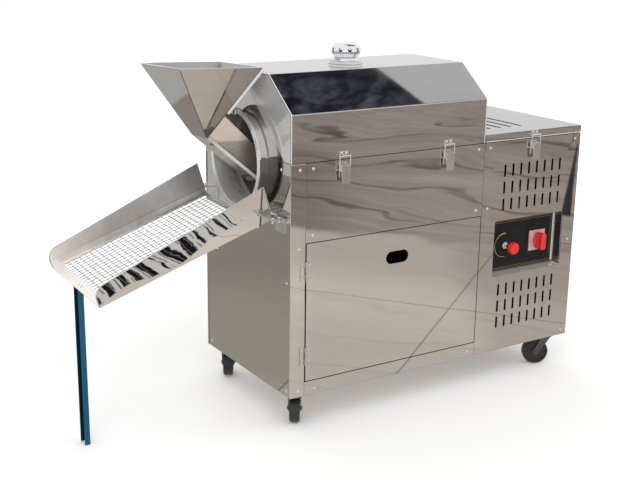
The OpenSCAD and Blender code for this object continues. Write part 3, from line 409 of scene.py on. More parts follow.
def dial_face(name, black, gold):
    """Black printed plate: two gold border lines and a tapered scale round the speed knob."""
    f = Finish(name, Specular_IOR_Level=0.15)
    x, _, z = f.axes(f.spot)
    centre = mm(PLATE[0], 0, PLATE[1])
    across = (x - centre.x) * 1000.0
    up = (z - centre.z) * 1000.0
    # The recess hides the plate's upper edge from above, so the border sits lower there
    top_margin = 8.0
    wide, high = PLATE_HALF
    edge = (wide - abs(across)).least(up + high).least(high - top_margin - up)
    outer_line, inner_line = 3.0, 6.6
    outer = abs(edge - outer_line).between(0.5, 0.15)
    inner = abs(edge - inner_line).between(0.42, 0.1)
    du = across - (KNOB[0] - PLATE[0])
    dw = up - (KNOB[1] - PLATE[1])
    scale_radius = 27.3
    turn = dw.math("ARCTAN2", du * -1.0)
    half_width = turn.between(-1.5, 1.6) * 0.8 + 0.3
    sweep = abs(turn).between(1.75, 1.65)
    scale = (abs((du * du + dw * dw).root() - scale_radius) - half_width).between(0.3, 0.0) * sweep
    printed = (outer.most(inner) * 0.55).most(scale)
    dust = f.noise(f.spot, 60.0, 4.0)
    return f.give(
        Base_Color=f.mix(printed, f.tinted(dust, black, 0.7, 1.5), rgba(gold)),
        Metallic=printed * 0.85,
        Roughness=dust * 0.15 + 0.22,
        Normal=f.bump(printed + f.noise(f.spot, 700.0) * 0.2, 0.2, 0.0002),
    )


def burnt_iron(name, tint, rust_tint):
    """Cast iron with rust in patches."""
    f = Finish(name, Metallic=0.7)
    rust = f.noise(f.spot, 45.0, 5.0, 0.65).between(0.5, 0.72)
    cast = f.noise(f.spot, 260.0, 4.0)
    return f.give(
        Base_Color=f.mix(rust, f.tinted(cast, tint, 0.7, 1.3), rgba(rust_tint)),
        Roughness=rust * 0.3 + cast * 0.2 + 0.4,
        Normal=f.bump(cast + rust * 0.4, 0.6, 0.0008),
    )


def make_finishes(colours):
    """Every finish of the machine, by name."""
    steel, bright = tuple(colours.steel), tuple(colours.bright)
    # Tint, roughness, lay, depth of the hollows in metres, and their number per metre on each axis
    sheets = {
        "front": ("polished_front", steel, 0.022, LAY_X, 0.0009, (2.4, 2.4, 3.2)),
        "wavy": ("polished_wavy", steel, 0.02, LAY_X, 0.0018, (2.2, 4.0, 5.5)),
        "side": ("polished_side", steel, 0.02, LAY_Y, 0.0008, (2.6, 2.6, 2.6)),
        # Tops and the cover's top are the front's polished sheet tinted darker: painted shade on faces that
        # look up
        "top": ("polished_top", (0.385, 0.385, 0.384), 0.03, LAY_X, *TOP_HOLLOW),
        "cover": ("cover_top", (0.335, 0.335, 0.334), 0.03, LAY_X, *TOP_HOLLOW),
        "bright": ("bright_sheet", bright, 0.03, LAY_FOLDED, 0.0008, (7.0, 7.0, 7.0)),
        "hopper": ("hopper_sheet", (0.5, 0.475, 0.44), 0.03, LAY_FOLDED, 0.001, (6.0, 6.0, 6.0)),
        "chute": ("chute_mirror", bright, 0.015, (30, 800, 800), 0.0011, (9.0, 9.0, 9.0)),
    }
    # Tint, roughness, lay, shade and metal
    satins = {
        # The chute's inside: satin with painted shade and a painted highlight from its shade function
        "dull": ("chute_inside", (0.6, 0.575, 0.55), 0.34, (500, 500, 30), painted_chute_shade),
        "satin": ("satin_inside", (0.7, 0.69, 0.67), 0.3, LAY_NECK),
        # The trough's front is tinted like the tan floor it faces: a painted reflection, with painted shade
        # from trough_shade
        "tan": ("trough_sheet", (0.72, 0.64, 0.56), 0.25, (60, 300, 300), trough_shade, 0.5),
        "neck": ("mouth_neck", (0.7, 0.69, 0.67), 0.3, LAY_NECK, neck_shade),
        "inner": ("hopper_inside", (0.4, 0.4, 0.39), 0.3, (60, 300, 60)),
        # A darker copy of the neck's satin: painted shade on the ring's outside below the seam
        "dim": ("shaded_neck", (0.2, 0.195, 0.19), 0.3, LAY_NECK),
        # A much lighter copy of the satin: painted highlight on the ring's lip, the hems, the beads and the
        # control ledge
        "lip": ("turned_lip", (0.92, 0.91, 0.89), 0.22, (300, 300, 300)),
        # A near-black copy for rounded sheet edges and cut rims: painted shade along the seams
        "edge": ("cut_edge", (0.045, 0.04, 0.036), 0.5, (200, 200, 200)),
    }
    # Tint, roughness and flecks per metre
    fittings = {
        "wire": ("mesh_wire", (0.14, 0.138, 0.135), 0.3, 400.0),
        "zinc": ("zinc_plate", (0.63, 0.63, 0.64), 0.3),
        "dark_zinc": ("black_zinc", (0.14, 0.14, 0.145), 0.22),
        "nickel": ("bright_nickel", (0.78, 0.77, 0.75), 0.15),
        "chrome": ("chrome_plate", (0.85, 0.85, 0.86), 0.06, 60.0),
        "brass": ("turned_brass", (0.74, 0.56, 0.26), 0.25),
    }
    # Tint, roughness and the level of noise above which paint is chipped
    paints = {
        "blue": ("blue_enamel", tuple(colours.leg), 0.28, 0.71),
        # Near-black copy of the blue: painted shade inside the channel
        "blue_shade": ("blue_enamel_inside", (0.004, 0.02, 0.042), 0.4, 0.68),
        "grey": ("motor_enamel", (0.13, 0.15, 0.17), 0.4, 0.74),
    }
    # Tint, roughness, pebble, coat and light given off
    plastics = {
        "red": ("red_plastic", tuple(colours.knob), 0.22, 0.08, 0.6),
        "red_plate": ("pink_switch_plate", (0.62, 0.36, 0.35), 0.16, 0.05, 0.8),
        "black": ("black_plastic", (0.025, 0.025, 0.028), 0.4, 0.25),
        "rubber": ("castor_rubber", tuple(colours.rubber), 0.5, 0.4),
        # A white that gives off light: painted light on the mesh's apron
        "white": ("white_paint", (0.8, 0.8, 0.78), 0.4, 0.1, 0.0, 0.8),
    }
    others = {
        "end": (end_sheet, "lid_end_sheet", (0.64, 0.63, 0.62)),
        "drum": (drum_steel, "heated_drum", (0.85, 0.83, 0.8), (0.46, 0.36, 0.23), (0.22, 0.25, 0.34)),
        "dial": (dial_face, "dial_print", (0.012, 0.012, 0.013), (0.72, 0.55, 0.18)),
        "iron": (burnt_iron, "burner_iron", (0.16, 0.15, 0.145), (0.2, 0.09, 0.045)),
    }
    made = {key: make(*row) for key, (make, *row) in others.items()}
    for make, table in (
        (sheet_steel, sheets), (satin_steel, satins), (plated, fittings),
        (enamel, paints), (moulded, plastics),
    ):
        made.update({key: make(*row) for key, row in table.items()})
    return made


FINISHES = {}


def clean_copy(node):
    """A CAD node's mesh as merged, flat-dissolved faces."""
    mesh = NODES[node].data.copy()
    mesh.materials.clear()
    work = bmesh.new()
    work.from_mesh(mesh)
    bmesh.ops.remove_doubles(work, verts=work.verts, dist=MERGE)
    bmesh.ops.dissolve_limit(
        work, angle_limit=math.radians(0.4), verts=work.verts, edges=work.edges, delimit={"NORMAL"}
    )
    work.to_mesh(mesh)
    work.free()
    return mesh


def mesh_of(name, work):
    """A new mesh from a bmesh, which is freed."""
    mesh = bpy.data.meshes.new(name)
    work.to_mesh(mesh)
    work.free()
    return mesh


def body_of(node):
    """The body that holds a CAD node."""
    for body, members in frame["record"]["behaviour"]["bodies"].items():
        if node in members:
            return body
    raise RuntimeError("no body holds " + node)


def show(name, mesh, body, finishes, stands_for=()):
    """Links a mesh as a piece that rides on a body."""
    for finish in finishes:
        mesh.materials.append(FINISHES[finish])
    piece = bpy.data.objects.new(name, mesh)
    bpy.context.scene.collection.objects.link(piece)
    if stands_for:
        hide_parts(*stands_for)
    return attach(piece, body)


def smooth(mesh, angle):
    """Smooth shading between edges sharper than an angle."""
    for face in mesh.polygons:
        face.use_smooth = True
    mesh.set_sharp_from_angle(angle=math.radians(angle))
    return mesh


def round_edges(piece, width, segments=2, angle=30.0, edge=-1):
    """Softens edges by a width in millimetres and keeps flats flat; edge is the place of their finish."""
    smooth(piece.data, angle)
    bevel = piece.modifiers.new("edge", "BEVEL")
    bevel.width = width / 1000
    bevel.segments = segments
    bevel.limit_method = "ANGLE"
    bevel.angle_limit = math.radians(angle)
    bevel.use_clamp_overlap = False
    bevel.miter_outer = "MITER_ARC"
    bevel.material = edge
    flats = piece.modifiers.new("flats", "WEIGHTED_NORMAL")
    flats.keep_sharp = False


def dress(node, finish, width, segments=2, pick=None, edge=-1):
    """A CAD node's own shape with soft edges; pick gives the place of a face's finish, edge the edges'."""
    finishes = [finish] if isinstance(finish, str) else list(finish)
    mesh = clean_copy(node)
    piece = show(node + "_skin", mesh, body_of(node), finishes, [node])
    if pick:
        for face in mesh.polygons:
            face.material_index = pick(face.center, face.normal)
    round_edges(piece, width, segments, edge=edge)


def coat(node, finish):
    """A finish on a CAD node that is shown as it is."""
    mesh = NODES[node].data
    mesh.materials.clear()
    mesh.materials.append(FINISHES[finish])
    for face in mesh.polygons:
        face.material_index = 0


class Growth(Nodes):
    """A Geometry Nodes tree with named inputs."""

    def __init__(self, name, inputs):
        super().__init__(bpy.data.node_groups.new(name, "GeometryNodeTree"))
        face = self.tree.interface
        face.new_socket("Geometry", in_out="INPUT", socket_type="NodeSocketGeometry")
        self.ids = {}
        for label, kind in inputs.items():
            socket = face.new_socket(label, in_out="INPUT", socket_type="NodeSocket" + kind)
            self.ids[label] = socket.identifier
        face.new_socket("Geometry", in_out="OUTPUT", socket_type="NodeSocketGeometry")
        self.entry = self.tree.nodes.new("NodeGroupInput")

    def value(self, label):
        return Shade(self, self.entry.outputs[label])

    def close(self, geometry):
        """Ends the tree in real geometry with its material."""
        real = self.add("GeometryNodeRealizeInstances", None, geometry)
        done = self.add("GeometryNodeSetMaterial", None, Geometry=real, Material=self.value("Material"))
        self.feed(self.tree.nodes.new("NodeGroupOutput").inputs[0], done)

    def grow(self, seed, values):
        """Runs the tree on a seed mesh and gives the plain mesh that it makes."""
        holder = bpy.data.objects.new(self.tree.name + "_seed", seed)
        bpy.context.scene.collection.objects.link(holder)
        modifier = holder.modifiers.new("grow", "NODES")
        modifier.node_group = self.tree
        for label, value in values.items():
            modifier[self.ids[label]] = value
        graph = bpy.context.evaluated_depsgraph_get()
        mesh = bpy.data.meshes.new_from_object(
            holder.evaluated_get(graph), preserve_all_data_layers=True, depsgraph=graph
        )
        bpy.data.objects.remove(holder)
        return mesh


def weave_tree():
    """Plain weave of round wire: two families of wavy wires, each in two phases."""
    t = Growth("wire_weave", {
        "Across Count": "Int", "Along Count": "Int", "Pitch": "Float",
        "Wire Radius": "Float", "Wave": "Float", "Material": "Material",
    })
    wire_sides, bends_per_pitch = 5, 3.0
    profile = t.add(
        "GeometryNodeCurvePrimitiveCircle", None, Resolution=wire_sides, Radius=t.value("Wire Radius")
    )
    pitch = t.value("Pitch")
    families = []
    for crossings, wires, turned in (
        ("Across Count", "Along Count", False), ("Along Count", "Across Count", True),
    ):
        for phase in (0, 1):
            crossed = t.value(crossings)
            end = t.vector(crossed * pitch)
            line = t.add("GeometryNodeCurvePrimitiveLine", None, Start=(0, 0, 0), End=end)
            count = crossed * bends_per_pitch + 1.0
            fine = t.add("GeometryNodeResampleCurve", None, Curve=line, Count=count)
            run = t.axes(t.add("GeometryNodeInputPosition"))[0]
            angle = run / pitch * math.pi + math.pi * (phase + turned + 0.5)
            lift = t.vector(z=angle.sine() * t.value("Wave"))
            wavy = t.add("GeometryNodeSetPosition", None, Geometry=fine, Offset=lift)
            wire = t.add("GeometryNodeCurveToMesh", None, Curve=wavy, Profile_Curve=profile)
            if turned:
                wire = t.add("GeometryNodeTransform", None, Geometry=wire, Rotation=(0, 0, math.pi / 2))
            half = ((t.value(wires) + (2.0 - phase)) / 2.0).math("FLOOR")
            first, stride = (
                t.vector(x=way) if turned else t.vector(y=way) for way in (pitch * float(phase), pitch * 2.0)
            )
            row = t.add("GeometryNodeMeshLine", None, Count=half, Start_Location=first, Offset=stride)
            families.append(t.add("GeometryNodeInstanceOnPoints", None, Points=row, Instance=wire))
    t.close(t.add("GeometryNodeJoinGeometry", None, families))
    return t


def head_tree():
    """Domed heads with a cross recess, one on each point along its facing."""
    t = Growth("screw_heads", {"Height": "Float", "Recess": "Float", "Material": "Material"})
    ball = t.add("GeometryNodeMeshUVSphere", None, Segments=20, Rings=10, Radius=1.0)
    squat = t.vector(1.0, 1.0, t.value("Height"))
    dome = t.add("GeometryNodeTransform", None, Geometry=ball, Scale=squat)
    slots = []
    slot_length, slot_width = 1.1, 0.24
    for size in ((slot_length, slot_width, 1.0), (slot_width, slot_length, 1.0)):
        block = t.add("GeometryNodeMeshCube", None, Size=size)
        at = t.vector(z=t.value("Height") + 0.5 - t.value("Recess"))
        slots.append(t.add("GeometryNodeTransform", None, Geometry=block, Translation=at))
    cut = t.add("GeometryNodeMeshBoolean", {"operation": "DIFFERENCE", "solver": "EXACT"}, dome, slots)
    facing = t.add("GeometryNodeInputNamedAttribute", {"data_type": "FLOAT_VECTOR"}, "facing")
    size = t.add("GeometryNodeInputNamedAttribute", {"data_type": "FLOAT"}, "size")
    turn = t.add("FunctionNodeAlignRotationToVector", {"axis": "Z"}, Vector=facing)
    t.close(t.add(
        "GeometryNodeInstanceOnPoints", None, Points=t.value("Geometry"), Instance=cut,
        Rotation=turn, Scale=size,
    ))
    return t


def islands(node):
    """Lowest and highest corners of each loose piece of a CAD node."""
    work = bmesh.new()
    work.from_mesh(NODES[node].data)
    bmesh.ops.remove_doubles(work, verts=work.verts, dist=MERGE)
    left = set(work.verts)
    boxes = []
    while left:
        queue = [left.pop()]
        found = []
        while queue:
            vert = queue.pop()
            found.append(vert.co.copy())
            for edge in vert.link_edges:
                other = edge.other_vert(vert)
                if other in left:
                    left.remove(other)
                    queue.append(other)
        boxes.append((Vector(map(min, zip(*found))), Vector(map(max, zip(*found)))))
    work.free()
    return boxes


def points_mesh(name, rows):
    """Loose points with a facing and a size each."""
    mesh = bpy.data.meshes.new(name)
    mesh.from_pydata([row[0] for row in rows], [], [])
    mesh.attributes.new("facing", "FLOAT_VECTOR", "POINT")
    mesh.attributes.new("size", "FLOAT", "POINT")
    for i, (_, direction, radius) in enumerate(rows):
        mesh.attributes["facing"].data[i].vector = direction
        mesh.attributes["size"].data[i].value = radius
    return mesh


def bar(name, path, radius, body, finish, sides=8):
    """A round bar along a polyline, with closed ends, as a piece; its radius is in millimetres."""
    work = bmesh.new()
    turns = [2 * math.pi * k / sides for k in range(sides)]
    rings = []
    side = None
    for i, point in enumerate(path):
        ahead = (path[min(i + 1, len(path) - 1)] - path[max(i - 1, 0)]).normalized()
        side = (ahead.orthogonal() if side is None else side - ahead * side.dot(ahead)).normalized()
        other = ahead.cross(side)
        rings.append([
            work.verts.new(point + radius / 1000 * (math.cos(a) * side + math.sin(a) * other)) for a in turns
        ])
    for a, b in zip(rings, rings[1:]):
        for k in range(sides):
            work.faces.new((a[k - 1], a[k], b[k], b[k - 1]))
    work.faces.new(rings[0][::-1])
    work.faces.new(rings[-1])
    bmesh.ops.recalc_face_normals(work, faces=work.faces)
    show(name, smooth(mesh_of(name, work), 50), body, [finish])


def strip(work, start, end, across, width, thick):
    """A flat bar in millimetres from start to end, width across and thick, with closed ends."""
    run = (end - start).normalized()
    across = (across - run * across.dot(run)).normalized()
    out = run.cross(across).normalized() * thick
    rows = []
    for point in (start, end):
        corners = (point, point + across * width, point + across * width + out, point + out)
        rows.append([work.verts.new(mm(*corner)) for corner in corners])
    faces = [rows[0], rows[1][::-1]]
    faces += [(rows[0][k - 1], rows[1][k - 1], rows[1][k], rows[0][k]) for k in range(4)]
    made = [work.faces.new(face) for face in faces]
    bmesh.ops.recalc_face_normals(work, faces=made)


def chute_point(along, across, above):
    """A point in millimetres down the chute's floor from its upper end, across to the front and above it."""
    c, s = math.cos(CHUTE_ANGLE), math.sin(CHUTE_ANGLE)
    lift = above * math.cos(CHUTE_ROLL) - across * math.sin(CHUTE_ROLL)
    side = across * math.cos(CHUTE_ROLL) + above * math.sin(CHUTE_ROLL)
    x, y, z = CHUTE_TOP
    return mm(x - along * c - lift * s, y - side, z - along * s + lift * c)


def chute_way(along, across, above):
    """A direction in the chute's own axes."""
    return (chute_point(along, across, above) - chute_point(0, 0, 0)).normalized()


class RoasterSizes(bpy.types.PropertyGroup):
    """Sizes of sheet edges, lid bends and the chute's mesh"""

    edge: FloatProperty(
        name="Sheet edge", description="Rounding of sheet edges in millimetres",
        default=0.4, min=0.1, max=0.7,
    )
    bend: FloatProperty(
        name="Lid bend", description="Outer radius of the lid's bends in millimetres",
        default=3.0, min=1.6, max=8.0,
    )
    bend_steps: IntProperty(
        name="Bend steps", description="Facets in each bend of the lid", default=6, min=2, max=16
    )
    pitch: FloatProperty(
        name="Mesh pitch", description="Spacing of the chute's wires",
        default=0.012, unit="LENGTH", min=0.004, max=0.016,
    )
    wire: FloatProperty(
        name="Wire radius", description="Radius of a mesh wire",
        default=0.0006, unit="LENGTH", min=0.0003, max=0.0009,
    )


class RoasterColours(bpy.types.PropertyGroup):
    """Tints of the main finishes"""

    steel: FloatVectorProperty(
        name="Steel", description="Tint of the cabinet's sheet", subtype="COLOR",
        default=(0.6, 0.585, 0.565), min=0, max=1,
    )
    bright: FloatVectorProperty(
        name="Bright steel", description="Tint of the chute's and trough's sheet", subtype="COLOR",
        default=(0.66, 0.645, 0.62), min=0, max=1,
    )
    leg: FloatVectorProperty(
        name="Leg", description="Paint of the chute's leg", subtype="COLOR",
        default=(0.005, 0.092, 0.165), min=0, max=1,
    )
    knob: FloatVectorProperty(
        name="Knobs", description="Plastic of the controls", subtype="COLOR",
        default=(0.74, 0.015, 0.02), min=0, max=1,
    )
    rubber: FloatVectorProperty(
        name="Wheels", description="Castor wheels and rollers", subtype="COLOR",
        default=(0.022, 0.022, 0.024), min=0, max=1,
    )


class ROASTER_OT_panels(bpy.types.Operator):
    """Cabinet sheets, motor box, cover and burner door"""

    bl_idname = "roaster.panels"
    bl_label = "Cabinet panels"

    def execute(self, context):
        width = context.scene.roaster_sizes.edge
        upper = mm(0, 0, WAVY_FROM_Z).z

        def by_height(centre, normal):
            return int(centre.z > upper)

        def faces_front(centre, normal):
            return int(normal.y < -FACING)

        # Rounded edges of the front sheets and the door take painted shade
        for node in ("front_panels", "motor_front_panel"):
            dress(node, ["front", "wavy", "edge"], width, pick=by_height, edge=2)
        dress("corner_posts", ["front", "wavy"], width=1.2, segments=3, pick=by_height)
        dress("burner_door", ["front", "edge"], width, edge=1)
        for node in ("end_panel", "rear_wrap"):
            dress(node, "side", width)
        dress("lid_ends", "end", width)
        dress("motor_cover", ["cover", "wavy"], width, pick=faces_front)
        low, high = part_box("motor_cover")
        hem, sink, end_gap = COVER_HEM / 1000, 0.0003, 0.002
        path = [Vector((x, low.y + sink, low.z + hem)) for x in (low.x + end_gap, high.x - end_gap)]
        bar("cover_hem", path, COVER_HEM, "cover", "lip")
        for node in ("base_pan", "bulkhead"):
            coat(node, "front")
        return {"FINISHED"}


class ROASTER_OT_lid(bpy.types.Operator):
    """Lid sheet with rounded bends"""

    bl_idname = "roaster.lid"
    bl_label = "Lid"

    def execute(self, context):
        sizes = context.scene.roaster_sizes
        low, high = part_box("lid_shell")
        outline = self.outline(low, high, sizes.bend / 1000, sizes.bend_steps)
        work = bmesh.new()
        rows = [[work.verts.new((x, p.x, p.y)) for p in outline] for x in (low.x, high.x)]
        for k in range(len(outline) - 1):
            work.faces.new((rows[0][k], rows[0][k + 1], rows[1][k + 1], rows[1][k]))
        bmesh.ops.recalc_face_normals(work, faces=work.faces)
        if work.faces[0].normal.y > 0:
            bmesh.ops.reverse_faces(work, faces=work.faces)
        mesh = mesh_of("lid_sheet", work)
        piece = show("lid_sheet", mesh, "lid", ["wavy", "top", "edge"], ["lid_shell"])
        for face in mesh.polygons:
            # Faces that look up take the darker top sheet: painted shade
            face.material_index = int(face.normal.z > 0.3)
        wall = piece.modifiers.new("wall", "SOLIDIFY")
        wall.thickness = SHEET / 1000
        wall.offset = -1
        # The sheet's cut rim takes the painted seam shade
        wall.material_offset_rim = 2
        round_edges(piece, width=0.3, segments=1, angle=50)
        self.hems(outline, low, high)
        return {"FINISHED"}

    def outline(self, low, high, radius, steps):
        """The lid's section in y and z, up the front, over the roof and down the back."""
        shoulder = mm(0, 0, LID_SHOULDER_Z).z
        front, back = (mm(0, y, 0).y for y in LID_ROOF_Y)
        corners = [Vector(p) for p in (
            (low.y, low.z), (low.y, shoulder), (front, high.z),
            (back, high.z), (high.y, shoulder), (high.y, low.z),
        )]
        outline = [corners[0]]
        for a, b, c in zip(corners, corners[1:], corners[2:]):
            into, away = (b - a).normalized(), (c - b).normalized()
            reach = radius * math.tan(into.angle(away) / 2)
            start, end = b - into * reach, b + away * reach
            for k in (i / steps for i in range(steps + 1)):
                outline.append(start * (1 - k) ** 2 + b * 2 * k * (1 - k) + end * k * k)
        return outline + corners[-1:]

    def hems(self, outline, low, high):
        """A rolled edge at each end of the lid sheet."""
        middle = Vector((0, (low.z + high.z) / 2))
        hem, sink = LID_HEM / 1000, 0.0012
        inward = [p + (middle - p).normalized() * sink for p in outline]
        for name, x in (("lid_hem_left", low.x + hem), ("lid_hem_right", high.x - hem)):
            bar(name, [Vector((x, p.x, p.y)) for p in inward], LID_HEM, "lid", "lip")


class ROASTER_OT_feed(bpy.types.Operator):
    """Mouth ring, hopper and feed trough, with a rolled rim and folded flanges"""

    bl_idname = "roaster.feed"
    bl_label = "Hopper and mouth"

    def execute(self, context):
        axis = mm(0, MIDDLE_Y, DRUM_AXIS_Z)
        seam = mm(0, 0, LID_SEAM_Z).z

        def ring_part(centre, normal):
            out = centre - axis
            radial = (normal.y * out.y + normal.z * out.z) / math.hypot(out.y, out.z)
            # The lip's face takes the painted highlight, the outside below the seam painted shade, and the
            # outside above it the neck's painted shade
            if normal.x < -0.6:
                return 2
            if radial < -0.5:
                return 0
            return 1 if centre.z < seam else 3

        def hopper_part(centre, normal):
            return 2 if normal.z > 0.2 else int(normal.x > 0.3)

        def trough_part(centre, normal):
            # Faces that look forward and down take the tan painted reflection
            return int(normal.y < -FACING and normal.z < 0)

        dress("mouth_ring", ["satin", "dim", "lip", "neck"], width=0.6, segments=3, pick=ring_part)
        dress("hopper", ["hopper", "satin", "inner"], width=0.5, pick=hopper_part)
        dress("feed_trough", ["bright", "tan"], width=0.5, pick=trough_part)
        self.rim()
        self.flanges()
        return {"FINISHED"}

    def rim(self):
        """A bead rolled round the hopper's rim and welds down its front corners."""
        corners = [Vector(c) for c in HOPPER_RIM]
        path = []
        for a, b in zip(corners, corners[1:] + corners[:1]):
            path += [mm(*a.lerp(b, k)) for k in (0.015, 0.985)]
        bar("hopper_bead", path + path[:2], HOPPER_BEAD, "cabinet", "bright")
        foot, out = Vector(HOPPER_FOOT), Vector((0, -0.6, -0.3))
        for name, corner in zip(("hopper_weld_left", "hopper_weld_right"), corners):
            path = [mm(*(corner.lerp(foot, k) + out)) for k in (0.02, 0.99)]
            bar(name, path, HOPPER_WELD, "cabinet", "iron", sides=6)

    def flanges(self):
        """Standing flange down the hopper's front right corner and a lip along the trough's foot."""
        corner, foot, end = Vector(HOPPER_CORNER), Vector(HOPPER_FOOT), Vector(TROUGH_END)
        down = (foot - corner).normalized()
        along = (end - foot).normalized()
        flange_out, lip_out = Vector((0.589, -0.526, -0.613)), Vector((0.0, -0.6, 0.8))
        gap, flange_end, lip_short = 2, 112, 16
        work = bmesh.new()
        strip(work, corner + down * gap, corner + down * flange_end, flange_out, width=5.5, thick=1.0)
        strip(work, foot + along * gap, end - along * lip_short, lip_out, width=8.0, thick=1.0)
        piece = show("hopper_flanges", mesh_of("hopper_flanges", work), "cabinet", ["satin"])
        round_edges(piece, width=0.3)


class ROASTER_OT_chute(bpy.types.Operator):
    """Chute tray with rolled wall edges, and its brackets"""

    bl_idname = "roaster.chute"
    bl_label = "Chute"

    def execute(self, context):
        length, width, inner, outer, bend = CHUTE_SIZE
        back_zone, flat = 20, 0.9
        back = mm(0, MIDDLE_Y + width / 2 - back_zone, 0).y
        inside, upward = chute_way(0, 1, 0), chute_way(0, 0, 1)

        def dull_inside(centre, normal):
            return int(normal.dot(upward) > flat or (centre.y > back and normal.dot(inside) > flat))

        dress("chute_tray", ["chute", "dull"], width=0.5, pick=dull_inside)
        dress("chute_brackets", "zinc", width=0.5)
        reach = bend - HEM_INSET
        for name, side, start in (("chute_hem_back", -1, 20.0), ("chute_hem_front", 1, 0.0)):
            across = side * (width + SHEET) / 2
            path = [(start + HEM_INSET, inner - HEM_INSET), (length - bend, outer - HEM_INSET)]
            for a in (math.radians(15 * k) for k in range(1, 7)):
                path.append((length - bend + reach * math.sin(a), outer - bend + reach * math.cos(a)))
            path.append((length - HEM_INSET, SHEET))
            points = [chute_point(along, across, above) for along, above in path]
            bar(name, points, CHUTE_HEM, "cabinet", "bright")
        return {"FINISHED"}


class ROASTER_OT_mesh(bpy.types.Operator):
    """Woven wire floor of the chute"""

    bl_idname = "roaster.mesh"
    bl_label = "Chute mesh"

    def execute(self, context):
        sizes = context.scene.roaster_sizes
        along, across = MESH_SIZE
        rows = round(along / 1000 / sizes.pitch)
        pitch = along / 1000 / rows
        columns = int(across / 1000 / pitch)
        mesh = weave_tree().grow(bpy.data.meshes.new("weave_seed"), {
            "Across Count": rows, "Along Count": columns, "Pitch": pitch,
            "Wire Radius": sizes.wire, "Wave": sizes.wire, "Material": FINISHES["wire"],
        })
        turn = Matrix([chute_way(1, 0, 0), chute_way(0, 1, 0), chute_way(0, 0, 1)]).transposed().to_4x4()
        mesh.transform(Matrix.Translation(chute_point(MESH_START, -across / 2, -MESH_DEPTH)) @ turn)
        mesh.materials.clear()
        show("chute_weave", smooth(mesh, 60), "cabinet", ["wire"], ["chute_mesh"])
        self.apron(across / 2 - APRON_INSET)
        return {"FINISHED"}

    def apron(self, half):
        """Pale plate with turned-down edges under the mesh's upper end; it glows, painted light in place of
        its shade.
        """
        work = bmesh.new()
        rows = [
            [work.verts.new(chute_point(along, side, -depth)) for side in (-half, half)]
            for along, depth in APRON
        ]
        for a, b in zip(rows, rows[1:]):
            work.faces.new((a[0], a[1], b[1], b[0]))
        bmesh.ops.recalc_face_normals(work, faces=work.faces)
        piece = show("mesh_apron", mesh_of("mesh_apron", work), "cabinet", ["white"])
        wall = piece.modifiers.new("wall", "SOLIDIFY")
        wall.thickness = 0.0008
        round_edges(piece, width=0.2)


class ROASTER_OT_leg(bpy.types.Operator):
    """Painted channel leg under the chute"""

    bl_idname = "roaster.leg"
    bl_label = "Leg"

    def execute(self, context):
        low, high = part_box("leg")
        wall = SHEET / 1000

        def hollow(centre, normal):
            inside = low.y + wall < centre.y < high.y - wall and centre.x < high.x - wall
            return int(inside and abs(normal.z) < 0.5)

        # Faces inside the channel take painted shade
        dress("leg", ["blue", "blue_shade"], width=0.5, segments=3, pick=hollow)
        return {"FINISHED"}


class ROASTER_OT_controls(bpy.types.Operator):
    """Control recess, printed plate, speed knob and rotary switch"""

    bl_idname = "roaster.controls"
    bl_label = "Controls"

    def execute(self, context):
        knob = mm(KNOB[0], PLATE_FRONT_Y, KNOB[1])
        switch = mm(SWITCH[0], PLATE_FRONT_Y, SWITCH[1])
        switch_half, bush_radius, stem_radius = 0.026, 0.01, 0.006

        def tray_part(centre, normal):
            # The ledge that looks up and the rounded edges take the painted highlight; the wall that looks
            # left is chrome
            return 2 if normal.z > FACING else int(normal.x < -FACING)

        def fitting(centre, normal):
            if centre.y < switch.y and abs(centre.x - switch.x) < switch_half:
                return 1
            return 2 if centre.y < knob.y and abs(centre.x - knob.x) < bush_radius else 0

        def knob_part(centre, normal):
            from_axis = math.hypot(centre.x - knob.x, centre.z - knob.z)
            return int(from_axis < stem_radius and abs(normal.y) < 0.5)

        dress("control_tray", ["satin", "chrome", "lip"], width=0.5, pick=tray_part, edge=2)
        low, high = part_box("dial_plate")
        bead, inset, end_gap = RECESS_BEAD / 1000, 0.0012, 0.004
        path = [Vector((high.x - inset, low.y - bead, z)) for z in (low.z + end_gap, high.z - end_gap)]
        bar("recess_bead", path, RECESS_BEAD, "cabinet", "lip")
        coat("dial_plate", "dial")
        dress("electrical_bodies", ["black", "red_plate", "nickel"], width=0.5, pick=fitting)
        dress("speed_knob", ["red", "nickel"], width=0.8, segments=3, pick=knob_part)
        dress("switch_handle", "red", width=1.6, segments=4)
        return {"FINISHED"}


class ROASTER_OT_hardware(bpy.types.Operator):
    """Latches, catches and hinges"""

    bl_idname = "roaster.hardware"
    bl_label = "Latches and hinges"

    def execute(self, context):
        for node in ("latch_bases", "lid_fittings", "cover_fittings"):
            dress(node, "nickel", width=0.25)
        for node in ("hinge_frames", "door_hinge_leaves"):
            dress(node, "front", width=0.25)
        for place in ("left", "right", "motor"):
            dress("lever_" + place, "nickel", width=0.4, segments=3)
            coat("bail_" + place, "chrome")
        return {"FINISHED"}


